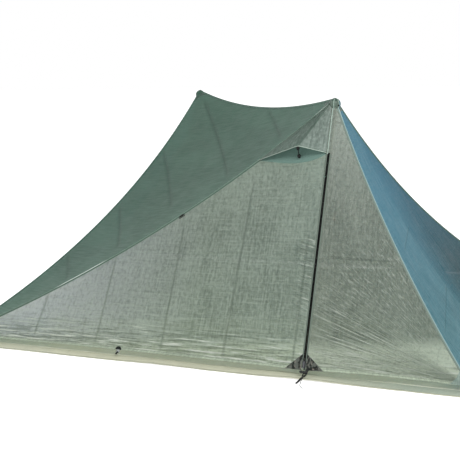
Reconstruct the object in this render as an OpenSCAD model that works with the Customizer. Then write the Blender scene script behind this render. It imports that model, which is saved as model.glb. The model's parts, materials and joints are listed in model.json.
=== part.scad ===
// Two-pole, two-peak shelter: fly, floor, mesh liner, groundsheet and two telescopic poles.
// Millimetres, +Z up, X along the front, Y from front to back, origin on the ground at the middle.
// The rear half is the front half given a half turn about Z.

/* [Fly] */
// Distance that the fly's corner points lie beyond the tub floor at each end
fly_over = 205; // [180:5:230]
// Depth of the fly between its corner points
fly_depth = 2040; // [2020:5:2080]
// Height of both peaks above the ground
peak_height = 1170; // [1150:5:1200]
// Sideways distance of each peak from the middle
peak_x = 556; // [530:2:580]
// Forward or backward distance of each peak from the middle
peak_y = 510; // [500:2:520]
// Height of the fly corners above the ground
corner_z = 26; // [24:1:40]
// Forward distance of the foot of the door zip from the middle
door_foot_y = 1040; // [1030:2:1060]
// Height of the foot of the door zip above the ground
door_foot_z = 32; // [30:1:40]
// Thickness of the fly cloth, seams and folds included
cloth = 1.2; // [1:0.1:1.6]

/* [Catenary cuts] */
// Sag of the ridge between the peaks
ridge_sag = 70; // [50:5:90]
// Sag of the long seam above each door
door_seam_sag = 113; // [95:2:125]
// Sag of the short seam beside each door
side_seam_sag = 62; // [50:2:75]
// Sag of the seam that runs from the rear peak down to the front left corner
left_end_sag = 120; // [90:5:125]
// Sag of the seam that runs from the front peak down to the rear right corner
right_end_sag = 92; // [80:2:110]
// Rise of each hem between two pegged points
hem_rise = 8; // [0:1:12]

/* [Seams] */
// Diameter of the rolled seam between two cloth panels
seam_d = 4; // [3:0.5:5]
// Distance from a seam's middle line to the cut edge of a panel
seam_inset = 3; // [2.8:0.1:3.2]
// Distance of the seam ends from the point where seams meet
seam_trim = 16; // [14:1:22]

/* [Door] */
// Share of the zip's length, from the foot up, at which the vent mouth lies
vent_share = 0.79; // [0.77:0.01:0.82]
// Share of the zip's length, from the foot up, at which the opening flap begins
fold_share = 0.7; // [0.66:0.01:0.72]
// Share of the hem, from the zip's foot to the corner, that opens with the flap
fold_hem_share = 0.9; // [0.86:0.01:0.92]
// Gap between the flap and the fixed cloth above it
fold_gap = 0.7; // [0.6:0.1:0.9]
// Share of the seam above the door, from the peak, at which the tie-back toggle sits
toggle_share = 0.405; // [0.38:0.005:0.45]

/* [Zip] */
// Width of one half of the zip tape
tape_w = 12; // [10:0.5:15]
// Thickness of the zip tape
tape_t = 1; // [0.8:0.1:1.2]
// Diameter of the zip coil
coil_d = 2.6; // [2.2:0.2:3]
// Clear way between the two coils
coil_split = 2; // [1.8:0.1:2.4]
// Width of the zip slider
slider_w = 16; // [14:1:20]
// Length of the zip slider
slider_l = 30; // [28:1:32]
// Height of the slider's lower end above the foot of the zip
slider_rest = 12; // [11:1:14]
// Length of the pull tab
pull_l = 30; // [26:1:32]
// Width of the pull tab
pull_w = 7; // [6:0.5:9]
// Running clearance of the slider and the pull tab
slider_gap = 0.4; // [0.3:0.05:0.5]

/* [Vent] */
// Distance that the vent hood's stiffened corner stands off the cloth
vent_lift = 80; // [72:2:88]
// Distance that the vent hood's corner is drawn up towards the peak
vent_draw = 24; // [18:2:32]
// Place of the hood's corner along its free edge, from the seam to the zip
vent_corner_share = 0.62; // [0.56:0.02:0.66]
// Diameter of the vent strut
strut_d = 6; // [5:0.5:8]
// Gap between the tip of the strut and the hood
strut_gap = 0.5; // [0.4:0.1:0.8]

/* [Peaks and corners] */
// Diameter of the cap over each peak
cap_d = 30; // [26:1:34]
// Length of the reinforcement patches below each peak
peak_patch_l = 110; // [90:5:130]
// Length of the reinforcement patches at the fly corners
corner_patch_l = 90; // [70:5:110]
// Height of the door foot patch along the zip
foot_patch_l = 70; // [60:5:80]
// Thickness of a reinforcement patch
patch_t = 0.8; // [0.6:0.1:1]
// Width of the webbing at the corners and door feet
webbing_w = 14; // [12:1:16]
// Thickness of the webbing
webbing_t = 1.6; // [1.4:0.1:1.8]
// Width of the cord adjusters
adjuster_w = 20; // [18:1:24]
// Length of the cord adjusters
adjuster_l = 34; // [30:1:38]
// Thickness of the cord adjusters
adjuster_t = 6; // [5:0.5:7]

/* [Liner] */
// Length of the tub floor
tub_l = 2120; // [2080:10:2140]
// Width of the tub floor
tub_w = 1120; // [1080:10:1130]
// Height of the tub walls
tub_h = 95; // [85:5:100]
// Turn of the floor against the fly, seen from above
tub_turn = 17; // [16:0.5:18]
// Thickness of the floor and wall cloth
tub_t = 1.2; // [1:0.1:1.5]
// Thickness of the mesh
mesh_t = 1; // [0.8:0.1:1.2]
// Drop of the mesh peak below the fly peak
mesh_drop = 96; // [90:2:110]
// Distance from the pole's axis to the mesh peak, towards the middle
mesh_back = 62; // [56:2:70]
// Sag of the mesh ridge
mesh_ridge_sag = 90; // [80:5:110]
// Sag of the mesh edges that run down to the floor's far corners
mesh_end_sag = 60; // [50:5:80]
// Sag of the mesh edges beside the inner doors
mesh_side_sag = 80; // [70:5:95]
// Width of the tabs that hang the mesh from the peaks
hanger_w = 12; // [10:1:15]

/* [Groundsheet] */
// Length of the groundsheet
ground_l = 2800; // [2780:10:2860]
// Depth of the groundsheet
ground_w = 2170; // [2150:5:2220]
// Thickness of the groundsheet, hem included
ground_t = 1.5; // [1.5:0.1:2]
// Distance of the eyelets from the groundsheet's edges
eyelet_in = 26; // [24:1:30]
// Bore of the eyelets
eyelet_d = 12; // [10:0.5:14]
// Width of the metal ring around an eyelet's bore
eyelet_ring = 3; // [2.5:0.5:4]

/* [Poles] */
// Outer diameter of the wide pole section
wide_d = 16; // [16:0.5:18]
// Wall of the wide pole section
wide_wall = 0.8; // [0.7:0.1:1]
// Length of the wide pole section
wide_l = 630; // [610:10:650]
// Overlap of the two pole sections inside each other
pole_overlap = 80; // [70:5:100]
// Radial sliding clearance between the pole sections
pole_gap = 0.1; // [0.05:0.01:0.1]
// Length of the foam grip
grip_l = 150; // [130:5:170]
// Largest diameter of the grip
grip_d = 34; // [30:1:38]
// Diameter of the pole tip inside its socket
tip_d = 10; // [9:0.5:11]
// Radial clearance of the tip in its socket
socket_gap = 0.4; // [0.3:0.1:0.6]
// Depth of the tip socket under each peak
socket_depth = 20; // [16:1:24]
// Width of the pole clamp across its barrel
clamp_d = 23; // [22:1:26]
// Height of the pole clamp
clamp_h = 46; // [42:1:52]
// Length of the clamp's lever
lever_l = 38; // [34:1:40]

/* [Hidden] */

$fn = 48;
gap = 0.3;            // seat of one piece on another
steps = 12;           // grid steps along a cloth panel's edge
seam_steps = 22;      // rings along a rolled seam
seam_sides = 6;

// ---- points of the fly ----
fly_length = tub_l + 2 * fly_over;
peak_a = [peak_x, -peak_y, peak_height];
corner_fl = [-fly_length / 2, -fly_depth / 2, corner_z];
corner_fr = [fly_length / 2, -fly_depth / 2, corner_z];
foot = [peak_x, -door_foot_y, door_foot_z];
peak_b = half_turn(peak_a);
corner_bl = half_turn(corner_fr);
corner_br = half_turn(corner_fl);

// ---- vector helpers ----
function unit(v) = v / norm(v);
function half_turn(p) = [-p.x, -p.y, p.z];
function face_normal(a, b, c) = unit(cross(b - a, c - a));
// Control point of a quadratic curve from p to q whose middle sags by sag along dir
function control(p, q, sag, dir) = (p + q) / 2 + 2 * sag * dir;
function along(p, m, q, t) = pow(1 - t, 2) * p + 2 * t * (1 - t) * m + pow(t, 2) * q;

// ---- outward normals of the flat faces, and the way each seam sags ----
n_roof = face_normal(peak_a, peak_b, corner_fl);
n_roof_rear = half_turn(n_roof);
n_door = face_normal(peak_a, corner_fl, foot);
n_side = face_normal(peak_a, foot, corner_fr);
n_end = face_normal(peak_a, corner_fr, corner_br);
way_ridge = -unit(n_roof + n_roof_rear);
way_door_seam = -unit(n_roof + n_door);
way_side_seam = -unit(n_side + n_end);
way_end_seam = -unit(n_end + n_roof_rear);

m_ridge = control(peak_a, peak_b, ridge_sag, way_ridge);
m_door_seam = control(peak_a, corner_fl, door_seam_sag, way_door_seam);
m_side_seam = control(peak_a, corner_fr, side_seam_sag, way_side_seam);
m_end_right = control(peak_a, corner_br, right_end_sag, way_end_seam);
m_end_left_turned = control(peak_a, corner_br, left_end_sag, way_end_seam);
m_zip = (peak_a + foot) / 2;
function hem_control(p, q) = control(p, q, hem_rise, unit(peak_a - (p + q) / 2));

// ---- cloth panels: [corner, corner, corner, control 01, control 12, control 20, normal] ----
k_door = [peak_a, corner_fl, foot, m_door_seam, hem_control(corner_fl, foot), m_zip, n_door];
k_side = [peak_a, foot, corner_fr, m_zip, hem_control(foot, corner_fr), m_side_seam, n_side];
function k_roof(m_end) = [peak_a, peak_b, corner_fl, m_ridge, half_turn(m_end), m_door_seam, n_roof];
function k_end(m_end) =
    [peak_a, corner_fr, corner_br, m_side_seam, hem_control(corner_fr, corner_br), m_end, n_end];

// Point of a panel for three shares that add up to 1
function on_panel(k, w) = w[0] * w[0] * k[0] + w[1] * w[1] * k[1] + w[2] * w[2] * k[2]
    + 2 * (w[0] * w[1] * k[3] + w[1] * w[2] * k[4] + w[2] * w[0] * k[5]);
function lifted(k, w, rise) = on_panel(k, w) + rise * k[6];
// Shares that keep a distance d[i] from the edge opposite corner i
function shares(k, d) = let (area = norm(cross(k[1] - k[0], k[2] - k[0])))
    [d[0] * norm(k[2] - k[1]) / area, d[1] * norm(k[0] - k[2]) / area, d[2] * norm(k[1] - k[0]) / area];
function mix(a, b, t) = a * (1 - t) + b * t;
function between(a, b, n) = [for (i = [0:n]) mix(a, b, i / n)];

// ---- cloth solids ----
// Solid between a sheet of points and the same points moved by drop
module slab(points, triangles, rim, drop) {
    n = len(points);
    m = len(rim);
    polyhedron(
        points = concat(points, [for (p = points) p + drop]),
        faces = concat(
            [for (f = triangles) [f[0], f[2], f[1]]],
            [for (f = triangles) [f[0] + n, f[1] + n, f[2] + n]],
            [for (i = [0:m - 1]) [rim[i], rim[(i + 1) % m], rim[(i + 1) % m] + n]],
            [for (i = [0:m - 1]) [rim[i], rim[(i + 1) % m] + n, rim[i] + n]]));
}

function tri_index(i, j) = i * (i + 1) / 2 + j;
function tri_faces(n) = concat(
    [for (i = [0:n - 1]) for (j = [0:i]) [tri_index(i, j), tri_index(i + 1, j), tri_index(i + 1, j + 1)]],
    [for (i = [1:n - 1]) for (j = [0:i - 1])
        [tri_index(i, j), tri_index(i + 1, j + 1), tri_index(i, j + 1)]]);
function tri_rim(n) = concat([for (i = [0:n - 1]) tri_index(i, 0)], [for (j = [0:n - 1]) tri_index(n, j)],
    [for (i = [n:-1:1]) tri_index(i, i)]);

// Three-cornered piece of panel k between the shares a, b and c, lifted by rise
module tri_sheet(k, a, b, c, n, t, rise = 0) {
    points = [for (i = [0:n]) for (j = [0:i]) lifted(k, (a * (n - i) + b * (i - j) + c * j) / n, rise)];
    slab(points, tri_faces(n), tri_rim(n), -t * k[6]);
}

// Whole panel, cut back by d[i] from the edge opposite corner i
module panel(k, d, n, t) {
    e = shares(k, d);
    tri_sheet(k, [1 - e[1] - e[2], e[1], e[2]], [e[0], 1 - e[0] - e[2], e[2]],
        [e[0], e[1], 1 - e[0] - e[1]], n, t);
}

// Strip of panel k between two rows of shares of equal length
module strip_sheet(k, top, low, rows, t, rise = 0) {
    cols = len(top) - 1;
    points = [for (i = [0:cols]) for (j = [0:rows]) lifted(k, mix(top[i], low[i], j / rows), rise)];
    function at(i, j) = i * (rows + 1) + j;
    triangles = concat(
        [for (i = [0:cols - 1]) for (j = [0:rows - 1]) [at(i, j), at(i + 1, j), at(i + 1, j + 1)]],
        [for (i = [0:cols - 1]) for (j = [0:rows - 1]) [at(i, j), at(i + 1, j + 1), at(i, j + 1)]]);
    rim = concat([for (i = [0:cols - 1]) at(i, 0)], [for (j = [0:rows - 1]) at(cols, j)],
        [for (i = [cols:-1:1]) at(i, rows)], [for (j = [rows:-1:1]) at(0, j)]);
    slab(points, triangles, rim, -t * k[6]);
}

// Round tube of radius r along points, with side as the direction that no stretch runs along
module tube(points, r, sides, side) {
    last = len(points) - 1;
    function heading(i) = unit(points[min(i + 1, last)] - points[max(i - 1, 0)]);
    function ring(i) = let (t = heading(i), b = unit(cross(t, side)), n = cross(b, t))
        [for (s = [0:sides - 1])
            points[i] + r * (cos(360 * s / sides) * n + sin(360 * s / sides) * cross(t, n))];
    polyhedron(
        points = [for (i = [0:last]) each ring(i)],
        faces = concat(
            [[for (s = [0:sides - 1]) s]],
            [for (i = [0:last - 1]) for (s = [0:sides - 1]) let (u = (s + 1) % sides)
                [i * sides + s, (i + 1) * sides + s, (i + 1) * sides + u]],
            [for (i = [0:last - 1]) for (s = [0:sides - 1]) let (u = (s + 1) % sides)
                [i * sides + s, (i + 1) * sides + u, i * sides + u]],
            [[for (s = [sides - 1:-1:0]) last * sides + s]]));
}

// Rolled seam along a sagging edge, kept clear of the points where seams meet
module seam(p, m, q, way) {
    trim = seam_trim / norm(q - p);
    points = [for (i = [0:seam_steps]) along(p, m, q, mix(trim, 1 - trim, i / seam_steps))];
    tube(points, seam_d / 2, seam_sides, way);
}

// ---- placing ----
module turned() { rotate([0, 0, 180]) children(); }
module both_halves() { children(); turned() children(); }
// Puts a piece drawn along +Z, with its back towards +Y, at origin o with axes x, y, z
module place(o, x, y, z) {
    multmatrix([[x.x, y.x, z.x, o.x], [x.y, y.y, z.y, o.y], [x.z, y.z, z.z, o.z], [0, 0, 0, 1]]) children();
}
// Piece drawn along +X from the origin, laid from p towards q with its top facing up
module lay_along(p, q, up) {
    x = unit(q - p);
    y = unit(cross(up, x));
    place(p, x, y, cross(x, y)) children();
}

// ---- the zip's own frame: foot at the origin, Z up the zip, -Y outwards ----
zip_vec = peak_a - foot;
zip_l = norm(zip_vec);
zip_tilt = atan2(zip_vec.y, zip_vec.z);
module on_zip() { translate(foot) rotate([-zip_tilt, 0, 0]) children(); }
zip_top = vent_share * zip_l;
fold_z = fold_share * zip_l;
fold_cut = 3.2;       // end of the zip halves from the fold
zip_edge = tape_w + gap;
side_edge = zip_edge + 0.8;   // the side panel's curve brings its cloth nearer to the zip
slider_top = slider_rest + slider_l;

// ---- shares of the door panel ----
e_door = shares(k_door, [0, zip_edge, seam_inset]);
g_vent = fold_gap / zip_l;
g_hem = 2 * fold_gap / norm(corner_fl - foot);
w_vent_seam = [vent_share, 1 - vent_share - e_door[2], e_door[2]];
w_vent_zip = [vent_share, e_door[1], 1 - vent_share - e_door[1]];
w_peak = [1 - e_door[1] - e_door[2], e_door[1], e_door[2]];
w_fold_zip = [fold_share, e_door[1], 1 - fold_share - e_door[1]];
w_fold_hem = [0, fold_hem_share, 1 - fold_hem_share];
w_foot = [0, e_door[1], 1 - e_door[1]];
w_corner = [0, 1 - e_door[2], e_door[2]];
down_zip = [-1, 0, 1];
down_hem = [0, -1, 1];

// ==== fly ====
module roof(m_end) { panel(k_roof(m_end), [seam_inset, seam_inset, seam_inset], steps, cloth); }
module end(m_end) { panel(k_end(m_end), [0, seam_inset, seam_inset], steps, cloth); }
module roof_front() { color("darkseagreen") roof(m_end_left_turned); }
module roof_rear() { color("darkseagreen") turned() roof(m_end_right); }
module end_right() { color("steelblue") end(m_end_right); }
module end_left() { color("steelblue") turned() end(m_end_left_turned); }
module side_panel() { panel(k_side, [0, seam_inset, side_edge], steps, cloth); }
module side_front() { color("lightsteelblue") side_panel(); }
module side_rear() { color("lightsteelblue") turned() side_panel(); }

// Fixed cloth between the seam above the door and the line where the flap folds
module door_header() {
    top = between(w_vent_seam, w_corner, steps);
    low = concat([w_vent_zip + g_vent * down_zip], between(w_fold_zip, w_fold_hem, steps - 1));
    strip_sheet(k_door, concat([top[0] + g_vent * down_zip], [for (i = [1:steps]) top[i]]), low, 3, cloth);
}
module door_header_front() { color("honeydew") door_header(); }
module door_header_rear() { color("honeydew") turned() door_header(); }

module door_flap() {
    tri_sheet(k_door, w_fold_zip + 1.4 * g_vent * down_zip, w_fold_hem + g_hem * down_hem,
        w_foot, steps, cloth);
}
module door_flap_front() { color("palegreen") door_flap(); }
module door_flap_rear() { color("palegreen") turned() door_flap(); }

module ridge_seam() { color("seagreen") seam(peak_a, m_ridge, peak_b, way_ridge); }
module panel_seams() {
    color("seagreen") {
        both_halves() {
            seam(peak_a, m_door_seam, corner_fl, way_door_seam);
            seam(peak_a, m_side_seam, corner_fr, way_side_seam);
        }
        seam(peak_a, m_end_right, corner_br, way_end_seam);
        turned() seam(peak_a, m_end_left_turned, corner_br, way_end_seam);
    }
}

// ==== peaks ====
cap_z = seam_d / 2 + gap;
post_d = 3;
socket_d = tip_d + 2 * socket_gap + 5;
socket_low = 62;
socket_top = socket_low - socket_depth - 4;
// Cap over the peak, with a post through the cloth that ends in the socket for the pole tip
module peak_cap() {
    translate(peak_a) {
        rotate_extrude() polygon([[0, cap_z], [cap_d / 2, cap_z], [cap_d / 2, cap_z + 1.2],
            [cap_d / 2.4, cap_z + 3], [cap_d / 4, cap_z + 4.2], [0, cap_z + 4.6]]);
        translate([0, 0, -socket_top]) cylinder(d = post_d, h = socket_top + cap_z + 1);
        difference() {
            translate([0, 0, -socket_low]) cylinder(d = socket_d, h = socket_low - socket_top);
            translate([0, 0, -socket_low - 1]) cylinder(d = tip_d + 2 * socket_gap, h = socket_depth + 1);
        }
    }
}
module peak_caps() { color("dimgray") both_halves() peak_cap(); }

// Patch on the facet of panel k at corner 0, 1 or 2, reaching reach along the facet's two edges
module corner_patch(k, corner, reach, d, rise = gap) {
    e = shares(k, d);
    a = (corner + 1) % 3;
    b = (corner + 2) % 3;
    function inner(c) = [for (i = [0:2]) i == c ? 1 - e[(c + 1) % 3] - e[(c + 2) % 3] : e[i]];
    o = on_panel(k, inner(corner));
    p = on_panel(k, mix(inner(corner), inner(a), 1 / steps));
    q = on_panel(k, mix(inner(corner), inner(b), 1 / steps));
    lift = (rise + patch_t) * k[6];
    slab([o + lift, o + reach * unit(p - o) + lift, o + reach * unit(q - o) + lift], [[0, 1, 2]], [0, 1, 2],
        -patch_t * k[6]);
}
function inset3(x) = [x, x, x];
module peak_patches() {
    color("darkslategray") {
        corner_patch(k_roof(m_end_left_turned), 0, peak_patch_l, inset3(seam_inset));
        corner_patch(k_roof(m_end_left_turned), 1, peak_patch_l, inset3(seam_inset));
        turned() corner_patch(k_roof(m_end_right), 0, peak_patch_l, inset3(seam_inset));
        turned() corner_patch(k_roof(m_end_right), 1, peak_patch_l, inset3(seam_inset));
        corner_patch(k_end(m_end_right), 0, peak_patch_l, inset3(seam_inset));
        turned() corner_patch(k_end(m_end_left_turned), 0, peak_patch_l, inset3(seam_inset));
        both_halves() corner_patch(k_side, 0, peak_patch_l, [0, seam_inset, side_edge]);
    }
}

// ==== corners and door feet ====
module corner_patches() {
    color("gray") {
        both_halves() {
            corner_patch(k_door, 1, corner_patch_l, [0, zip_edge, seam_inset], 2 * gap);
            corner_patch(k_side, 2, corner_patch_l, [0, seam_inset, side_edge], 2 * gap);
        }
        corner_patch(k_roof(m_end_left_turned), 2, corner_patch_l, inset3(seam_inset));
        turned() corner_patch(k_roof(m_end_right), 2, corner_patch_l, inset3(seam_inset));
        corner_patch(k_end(m_end_right), 1, corner_patch_l, [0, seam_inset, seam_inset]);
        corner_patch(k_end(m_end_right), 2, corner_patch_l, [0, seam_inset, seam_inset]);
        turned() corner_patch(k_end(m_end_left_turned), 1, corner_patch_l, [0, seam_inset, seam_inset]);
        turned() corner_patch(k_end(m_end_left_turned), 2, corner_patch_l, [0, seam_inset, seam_inset]);
    }
}

// Webbing tab with a ladder-lock buckle on its end, drawn along +X from the origin
tab_l = 22;
tab_lap = 5;          // the webbing reaches this far into the buckle
slot_l = adjuster_l / 7;
module adjuster() {
    translate([0, -webbing_w / 2, -webbing_t / 2]) cube([tab_l, webbing_w, webbing_t]);
    translate([tab_l - tab_lap, 0, 0]) difference() {
        translate([0, -adjuster_w / 2, -adjuster_t / 2]) cube([adjuster_l, adjuster_w, adjuster_t]);
        for (x = [2 * slot_l, 5 * slot_l])
            translate([x, -webbing_w / 2, -adjuster_t]) cube([slot_l, webbing_w, 2 * adjuster_t]);
    }
}
corner_in = 10;       // the corner tabs start this far inside the corner, under the cloth
tab_fall = [0, 0, 0.09];
module corner_adjuster(corner) {
    way = unit([corner.x, corner.y, 0]);
    start = corner - corner_in * way - [0, 0, cloth / 2 + gap + webbing_t / 2];
    lay_along(start, start + way - tab_fall, [0, 0, 1]) adjuster();
}
module corner_adjusters() {
    color("dimgray") both_halves() {
        corner_adjuster(corner_fl);
        corner_adjuster(corner_fr);
    }
}

module foot_patches() {
    color("slategray") both_halves() corner_patch(k_side, 1, foot_patch_l, [0, seam_inset, side_edge]);
}
foot_tab = foot + [zip_edge + webbing_w / 2, -3 * gap, 4];
foot_tab_way = unit([-0.157, -1, -0.355]);   // down and outwards, towards the peg
module foot_adjuster() { lay_along(foot_tab, foot_tab + foot_tab_way, [0, 0, 1]) adjuster(); }
module foot_adjusters() { color("black") both_halves() foot_adjuster(); }

// Free tail of the guy cord behind the front door's adjuster
cord_d = 2.5;
cord_route = [[568, -1086, 19], [568, -1092, 17.5], [568, -1098, 15.5], [568, -1104, 13], [568, -1110, 10.5],
    [568, -1116, 8], [568.5, -1122, 5.6], [569, -1128, 3.9],
    [570, -1134, 3], [571, -1140, 2.8], [572.5, -1146, 2.8],
    [575, -1153, 2.8], [578, -1159, 2.8], [582, -1165, 2.8], [587, -1172, 2.8], [592, -1179, 2.8],
    [597, -1186, 2.8]];
module foot_cord() { color("darkseagreen") tube(cord_route, cord_d / 2, 8, [1, 0, 0]); }

// ==== zip ====
// One half of the zip from z0 to z1, on the side that sgn gives
module zip_half(sgn, z0, z1) {
    coil_x = coil_split / 2 + coil_d / 2;
    translate([0, 0, z0]) {
        translate([sgn > 0 ? coil_x : -tape_w, 0, 0]) cube([tape_w - coil_x, tape_t, z1 - z0]);
        translate([sgn * coil_x, tape_t / 2, 0]) cylinder(d = coil_d, h = z1 - z0);
    }
}
module zip_tape_fixed() {
    on_zip() {
        zip_half(1, 2, zip_top);
        zip_half(-1, fold_z + fold_cut, zip_top);
    }
}
module zip_tape_fixed_front() { color("dimgray") zip_tape_fixed(); }
module zip_tape_fixed_rear() { color("dimgray") turned() zip_tape_fixed(); }
module zip_tape_flap() { on_zip() zip_half(-1, slider_top + slider_gap, fold_z - fold_cut); }
module zip_tape_flap_front() { color("dimgray") zip_tape_flap(); }
module zip_tape_flap_rear() { color("dimgray") turned() zip_tape_flap(); }

// Slider: an outer and an inner plate joined by a post between the coils
plate_t = 2;
slide_out = coil_d / 2 - tape_t / 2 + slider_gap;
slide_in = coil_d / 2 + tape_t / 2 + slider_gap;
pin_d = 1.8;
pull_out = slide_out + plate_t + slider_gap + 0.8;
pivot_z = slider_top - 5;
pull_t = 1.6;
lug_r = pin_d / 2 + slider_gap + 1.2;
lug_t = 2;
module zip_slider() {
    on_zip() {
        translate([-slider_w / 2, -slide_out - plate_t, slider_rest]) cube([slider_w, plate_t, slider_l]);
        translate([-slider_w / 2, slide_in, slider_rest]) cube([slider_w, plate_t, slider_l]);
        translate([-coil_split / 2 + slider_gap, -slide_out - 0.5, slider_rest])
            cube([coil_split - 2 * slider_gap, slide_out + slide_in + 1, slider_l]);
        for (x = [-slider_w / 2 + 1, slider_w / 2 - 1 - lug_t]) difference() {
            hull() {
                translate([x, -slide_out - pull_out, pivot_z])
                    rotate([0, 90, 0]) cylinder(r = lug_r, h = lug_t);
                translate([x, -slide_out - plate_t / 2, pivot_z - lug_r])
                    cube([lug_t, plate_t / 4, 2 * lug_r]);
            }
            translate([x - 1, -slide_out - pull_out, pivot_z]) rotate([0, 90, 0])
                cylinder(r = pin_d / 2 + slider_gap / 2, h = lug_t + 2);
        }
    }
}
module zip_slider_front() { color("black") zip_slider(); }
module zip_slider_rear() { color("black") turned() zip_slider(); }
module zip_pull() {
    on_zip() translate([0, -slide_out - pull_out, pivot_z]) {
        rotate([0, 90, 0]) translate([0, 0, -slider_w / 2 + 1.2]) cylinder(d = pin_d, h = slider_w - 2.4);
        difference() {
            translate([-pull_w / 2, -pull_t / 2, -pull_l]) cube([pull_w, pull_t, pull_l]);
            translate([0, 2, -pull_l + 5]) rotate([90, 0, 0]) cylinder(d = 3, h = 4);
        }
    }
}
module zip_pull_front() { color("silver") zip_pull(); }
module zip_pull_rear() { color("silver") turned() zip_pull(); }

// ==== vent at the top of each door ====
hood_rise = cloth + 2 * gap;
vent_draw_way = unit(peak_a - (on_panel(k_door, w_vent_seam) + on_panel(k_door, w_vent_zip)) / 2);
// Share of the full lift at a point of the hood, for the shares b (seam side) and c (zip side)
function hood_part(b, c) = min(c / vent_corner_share, b / (1 - vent_corner_share));
function hood_point(a, b, c) = lifted(k_door, w_peak * a + w_vent_seam * b + w_vent_zip * c, hood_rise)
    + hood_part(b, c) * (vent_lift * n_door + vent_draw * vent_draw_way);
hood_rows = 6;
function hood_share(i, j) = i == 0 ? 0 : j <= i ? vent_corner_share * j / i
    : vent_corner_share + (1 - vent_corner_share) * (j - i) / i;
function hood_index(i, j) = i * i + j;
// Rows of points from the peak to the free edge, with a fold from the peak to the stiffened corner
module vent_hood() {
    n = hood_rows;
    points = [for (i = [0:n]) for (j = [0:2 * i]) let (r = i / n, c = hood_share(i, j))
        hood_point(1 - r, r * (1 - c), r * c)];
    triangles = concat(
        [for (i = [0:n - 1]) for (j = [0:i])
            [hood_index(i, j), hood_index(i + 1, j), hood_index(i + 1, j + 1)]],
        [for (i = [1:n - 1]) for (j = [0:i - 1])
            [hood_index(i, j), hood_index(i + 1, j + 1), hood_index(i, j + 1)]],
        [for (i = [0:n - 1]) for (j = [i:2 * i])
            [hood_index(i, j), hood_index(i + 1, j + 1), hood_index(i + 1, j + 2)]],
        [for (i = [1:n - 1]) for (j = [i:2 * i - 1])
            [hood_index(i, j), hood_index(i + 1, j + 2), hood_index(i, j + 1)]]);
    rim = concat([for (i = [0:n - 1]) hood_index(i, 0)], [for (j = [0:2 * n - 1]) hood_index(n, j)],
        [for (i = [n:-1:1]) hood_index(i, 2 * i)]);
    slab(points, triangles, rim, -cloth * n_door);
}
module vent_hood_front() { color("aquamarine") vent_hood(); }
module vent_hood_rear() { color("aquamarine") turned() vent_hood(); }
module vent_mesh() {
    color("darkslategray") both_halves() tri_sheet(k_door, w_peak, w_vent_seam, w_vent_zip, 4, mesh_t);
}

// Strut that props the hood's corner; it folds down about its foot
strut_below = 5.6;    // the strut's foot lies below the vent mouth
strut_axle_l = 12;
hood_corner = hood_point(0, 1 - vent_corner_share, vent_corner_share);
strut_rest = strut_d / 2 + 2.6;   // the strut's axle stands off the cloth
strut_foot = lifted(k_door, mix(w_vent_seam, w_vent_zip, vent_corner_share) + strut_below / zip_l * down_zip,
    strut_rest);
strut_tip = hood_corner - (cloth + strut_gap + strut_d / 2) * n_door - strut_d / 2 * vent_draw_way;
vent_edge_way = unit(on_panel(k_door, w_vent_zip) - on_panel(k_door, w_vent_seam));
module vent_strut() {
    z = unit(strut_tip - strut_foot);
    y = unit(cross(z, vent_edge_way));
    place(strut_foot, cross(y, z), y, z) {
        cylinder(d = strut_d, h = norm(strut_tip - strut_foot));
        rotate([0, 90, 0]) cylinder(d = strut_d, h = strut_axle_l, center = true);
    }
}
module vent_strut_front() { color("black") vent_strut(); }
module vent_strut_rear() { color("black") turned() vent_strut(); }

// ==== tie-back toggles above the doors and tie-outs at the middle of the door hems ====
toggle_off = 14;
toggle_d = 5;
toggle_l = 18;
loop_l = 34;          // the toggle's elastic loop
loop_w = 3;
loop_t = 2;
module door_toggle() {
    e = shares(k_door, [0, 0, toggle_off]);
    w0 = [1 - toggle_share - e[2], toggle_share, e[2]];
    w1 = w0 + 0.015 * [-1, 1, 0];
    lay_along(lifted(k_door, w0, loop_t), lifted(k_door, w1, loop_t), n_door) {
        translate([0, -loop_w / 2, -loop_t / 2]) cube([loop_l, loop_w, loop_t]);
        translate([loop_l / 2, -loop_w / 2 - gap - toggle_d / 2, toggle_d / 2]) rotate([0, 90, 0])
            cylinder(d = toggle_d, h = toggle_l, center = true);
    }
}
module door_toggles() { color("black") both_halves() door_toggle(); }

hem_tie_share = 0.5;
tie_patch_d = 30;
tie_w = 10;
tie_drop = 11;        // the tie hangs this far below the hem
tie_bar_d = 6;
tie_bar_l = 14;
module hem_tie() {
    p = lifted(k_door, [0, hem_tie_share, 1 - hem_tie_share], -gap);
    x = unit(foot - corner_fl);
    y = -n_door;
    place(p, x, y, cross(x, y)) {
        translate([0, -patch_t, 1]) rotate([90, 0, 0]) linear_extrude(patch_t) difference() {
            circle(d = tie_patch_d);
            translate([-tie_patch_d, -2 * tie_patch_d]) square(2 * tie_patch_d);
        }
        translate([-tie_w / 2, -webbing_t - patch_t, -tie_drop])
            cube([tie_w, webbing_t, tie_drop + tie_patch_d * 0.4]);
        translate([0, -patch_t - webbing_t / 2, -tie_drop]) rotate([0, 90, 0])
            cylinder(d = tie_bar_d, h = tie_bar_l, center = true);
    }
}
module hem_tie_front() { color("dimgray") hem_tie(); }
module hem_tie_rear() { color("dimgray") turned() hem_tie(); }

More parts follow.
